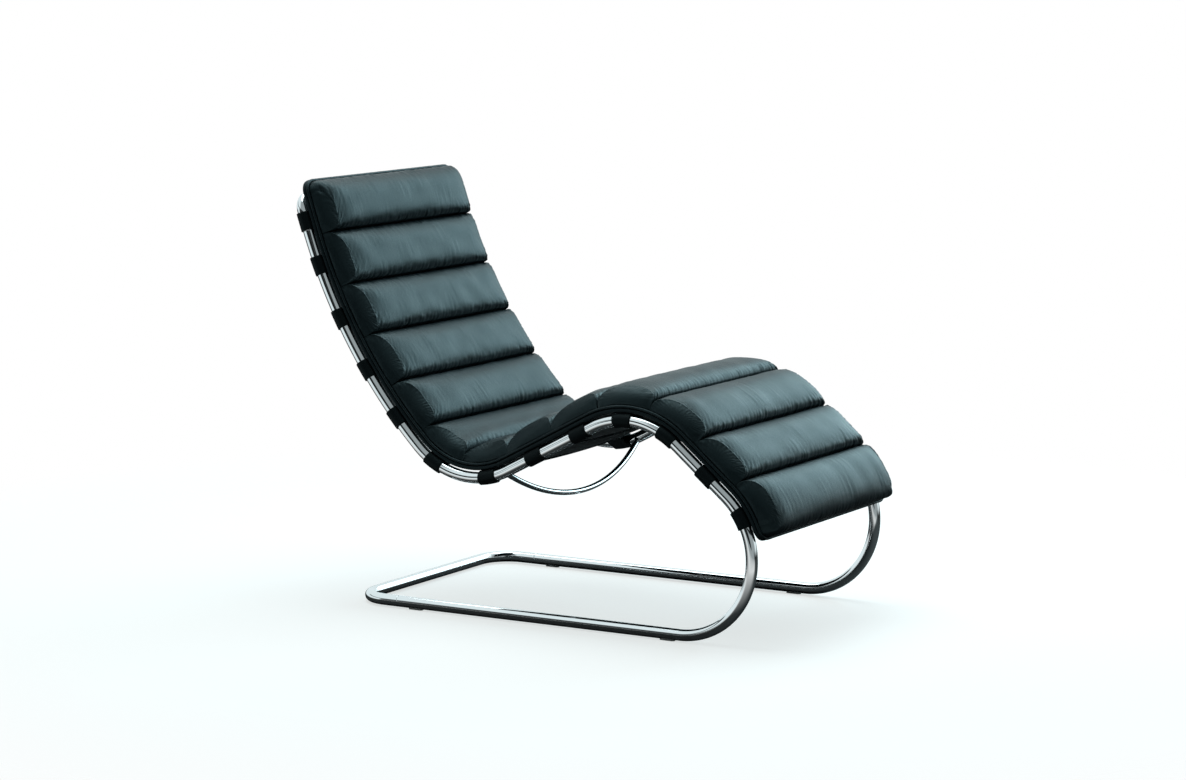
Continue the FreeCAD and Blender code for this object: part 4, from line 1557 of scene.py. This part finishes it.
@dataclass(frozen=True)
class Studio:
    """Plain white studio: a pale floor, one broad soft lamp overhead, and the photograph's camera."""

    camera_place: tuple[float, float, float] = (3.7272, -6.1761, 1.4754)
    azimuth: float = 0.543617
    elevation: float = 0.137944
    roll: float = -0.005145
    lens: float = 99.79
    floor_size: float = 60.0
    floor_colour: tuple[float, float, float] = (0.46, 0.46, 0.46)
    floor_in_gloss: tuple[float, float, float] = (0.06, 0.06, 0.06)
    floor_glow: float = 0.66
    soft_light: float = 0.35
    gloss_light: float = 0.9
    stripe_height: float = 0.34
    right_wall: float = 0.4
    overhead_power: float = 62.0
    screen_power: float = 72.0

    def camera(self) -> None:
        """Aim the camera: its view direction from azimuth and elevation, turned by the roll."""
        ahead = np.array([
            -math.sin(self.azimuth) * math.cos(self.elevation),
            math.cos(self.azimuth) * math.cos(self.elevation),
            -math.sin(self.elevation),
        ])
        level = np.array([math.cos(self.azimuth), math.sin(self.azimuth), 0.0])
        over = np.cross(level, ahead)
        right = math.cos(self.roll) * level + math.sin(self.roll) * over
        up = math.cos(self.roll) * over - math.sin(self.roll) * level
        data = bpy.data.cameras.new("camera")
        data.lens, data.sensor_width, data.sensor_fit = self.lens, 36.0, "HORIZONTAL"
        data.clip_end = 200.0
        camera = bpy.data.objects.new("camera", data)
        turn = Matrix((right, up, -ahead)).transposed().to_4x4()
        camera.matrix_world = Matrix.Translation(self.camera_place) @ turn
        bpy.context.scene.collection.objects.link(camera)
        bpy.context.scene.camera = camera

    def floor(self) -> None:
        """Lay the floor, a pale matte sheet with a glow that only the camera sees.

        The glow lifts the lit floor to white and leaves the chair's shadow. Further out the sheet
        fades away by its distance from the middle, and the surround shows in its place. In gloss
        the sheet is darker, as the floor of a room lit from above and behind.
        """
        half = self.floor_size / 2
        mesh = bpy.data.meshes.new("floor")
        mesh.from_pydata(
            [(-half, -half, 0.0), (half, -half, 0.0), (half, half, 0.0), (-half, half, 0.0)], [],
            [(0, 1, 2, 3)],
        )
        floor = bpy.data.objects.new("floor", mesh)
        bpy.context.scene.collection.objects.link(floor)
        material = bpy.data.materials.new("studio_floor")
        material.use_nodes = True
        graph = Graph(material.node_tree)
        graph.tree.nodes.clear()
        path = graph.add("ShaderNodeLightPath")
        gloss = path.outputs["Is Glossy Ray"]
        seen = graph.math("MULTIPLY", path.outputs["Is Camera Ray"], self.floor_glow)
        place = graph.add("ShaderNodeTexCoord").outputs["Object"]
        reach = graph.add("ShaderNodeVectorMath", {0: place}, operation="LENGTH").outputs["Value"]
        near = graph.spread(graph.add("ShaderNodeSeparateXYZ", {0: place}).outputs[1], -0.45, -0.2, 1.0, 0.0)
        outer = graph.math("MULTIPLY", graph.spread(reach, 0.65, 1.15, 0.0, 0.7), near)
        shader = graph.add("ShaderNodeBsdfPrincipled", {
            "Base Color": Finish.blend(graph, gloss, self.floor_colour, self.floor_in_gloss),
            "Roughness": 0.9, "Specular IOR Level": 0.0, "Emission Color": (0.97, 1.0, 0.99, 1.0),
            "Emission Strength": graph.math("ADD", seen, graph.math("MULTIPLY", gloss, outer)),
        })
        clear = graph.add("ShaderNodeBsdfTransparent")
        faded = graph.add("ShaderNodeMixShader", {
            0: graph.spread(reach, 1.1, 2.3, 0.0, 1.0), 1: shader.outputs["BSDF"], 2: clear.outputs["BSDF"],
        })
        graph.add("ShaderNodeOutputMaterial", {"Surface": faded.outputs["Shader"]})
        mesh.materials.append(material)

    def world(self) -> None:
        """Surround: white to the camera and in gloss, dim and from above and behind for soft light.

        In gloss one narrow dark stripe runs along the near wall, where the ceiling's screen ends,
        and the wall on the near right is dark;
        a dark doorway stands straight in front, and the ground on the far side is dark.
        The soft light is bright where the direction's height plus its share to the far side is
        above a soft edge.
        """
        world = bpy.data.worlds.new("studio")
        bpy.context.scene.world = world
        world.use_nodes = True
        graph = Graph(world.node_tree)
        graph.tree.nodes.clear()
        way = graph.add("ShaderNodeSeparateXYZ", {0: graph.add("ShaderNodeTexCoord").outputs["Generated"]})
        lean = graph.math("ADD", graph.math("MULTIPLY", way.outputs[1], 0.55), way.outputs[2])
        wall = graph.spread(lean, 0.0, 0.30, 0.0, 1.0)
        path = graph.add("ShaderNodeLightPath")
        soft = graph.math(
            "MULTIPLY", graph.math("MULTIPLY", path.outputs["Is Diffuse Ray"], wall), self.soft_light,
        )
        off_stripe = graph.math("ABSOLUTE", graph.math("SUBTRACT", way.outputs[2], self.stripe_height))
        stripe = graph.math(
            "MAXIMUM", graph.spread(off_stripe, 0.03, 0.06, 0.02, 1.0),
            graph.spread(way.outputs[1], 0.0, 0.2, 0.0, 1.0),
        )
        in_front = graph.spread(way.outputs[1], -0.82, -0.70, 0.0, 1.0)
        low = graph.spread(way.outputs[2], 0.26, 0.34, 0.04, 1.0)
        beneath = graph.spread(way.outputs[2], -0.03, -0.01, 1.0, 0.0)
        doorway = graph.math("MAXIMUM", graph.math("MAXIMUM", low, in_front), beneath)
        ground = graph.math(
            "MAXIMUM", graph.spread(way.outputs[1], -0.4, 0.0, 1.0, 0.05),
            graph.spread(way.outputs[2], -0.10, 0.02, 0.0, 1.0),
        )
        right = graph.math(
            "MAXIMUM", graph.spread(way.outputs[0], -0.35, -0.15, 1.0, self.right_wall),
            graph.spread(way.outputs[1], 0.1, 0.4, 0.0, 1.0),
        )
        room = graph.math(
            "MULTIPLY", graph.math("MULTIPLY", stripe, doorway),
            graph.math("MULTIPLY", ground, self.gloss_light),
        )
        room = graph.math("MULTIPLY", room, right)
        glossy = graph.math("MULTIPLY", path.outputs["Is Glossy Ray"], room)
        clear = graph.math("MAXIMUM", path.outputs["Is Camera Ray"], path.outputs["Is Transmission Ray"])
        strength = graph.math("MAXIMUM", graph.math("MAXIMUM", soft, glossy), clear)
        tint = Finish.blend(graph, clear, (0.86, 0.98, 1.0), (1.0, 1.0, 1.0))
        light = graph.add("ShaderNodeBackground", {"Color": tint, "Strength": strength})
        graph.add("ShaderNodeOutputWorld", {"Surface": light.outputs["Background"]})

    def lamp(self, name: str, place: tuple, aim: tuple, size: float, power: float, colour: tuple) -> None:
        """Hang a soft square lamp.

        Args:
            name: Name of the lamp.
            place: Where it hangs.
            aim: Point that it faces.
            size: Length of its sides.
            power: Its power in watts.
            colour: Its colour.
        """
        data = bpy.data.lights.new(name, "AREA")
        data.size, data.energy, data.color = size, power, colour
        lamp = bpy.data.objects.new(name, data)
        lamp.location = place
        lamp.rotation_euler = (Vector(aim) - Vector(place)).to_track_quat("-Z", "Y").to_euler()
        bpy.context.scene.collection.objects.link(lamp)

    def build(self) -> None:
        """Set up camera, floor, surround and lamp."""
        self.camera()
        self.floor()
        self.world()
        self.lamp("overhead", (-0.4, 0.5, 3.0), (0.0, 0.0, 0.4), 2.6, self.overhead_power, (0.84, 0.98, 1.0))
        self.lamp("screen", (0.9, 3.0, 1.9), (0.0, 0.0, 0.5), 2.6, self.screen_power, (0.60, 0.91, 1.0))
        bpy.context.scene.view_settings.view_transform = "Standard"


def main() -> None:
    """Build the studio and the chair's sub-assemblies in order."""
    logging.basicConfig(level=logging.INFO, format="%(name)s: %(message)s")
    Studio().build()
    layers = Layers(RailLine())
    cushion = Cushion(layers)
    belts = Belts(layers)
    Tubework(layers.rail).build()
    belts.build(cushion.belt_places(belts.width))
    cushion.build()


if __name__ == "__main__":
    main()
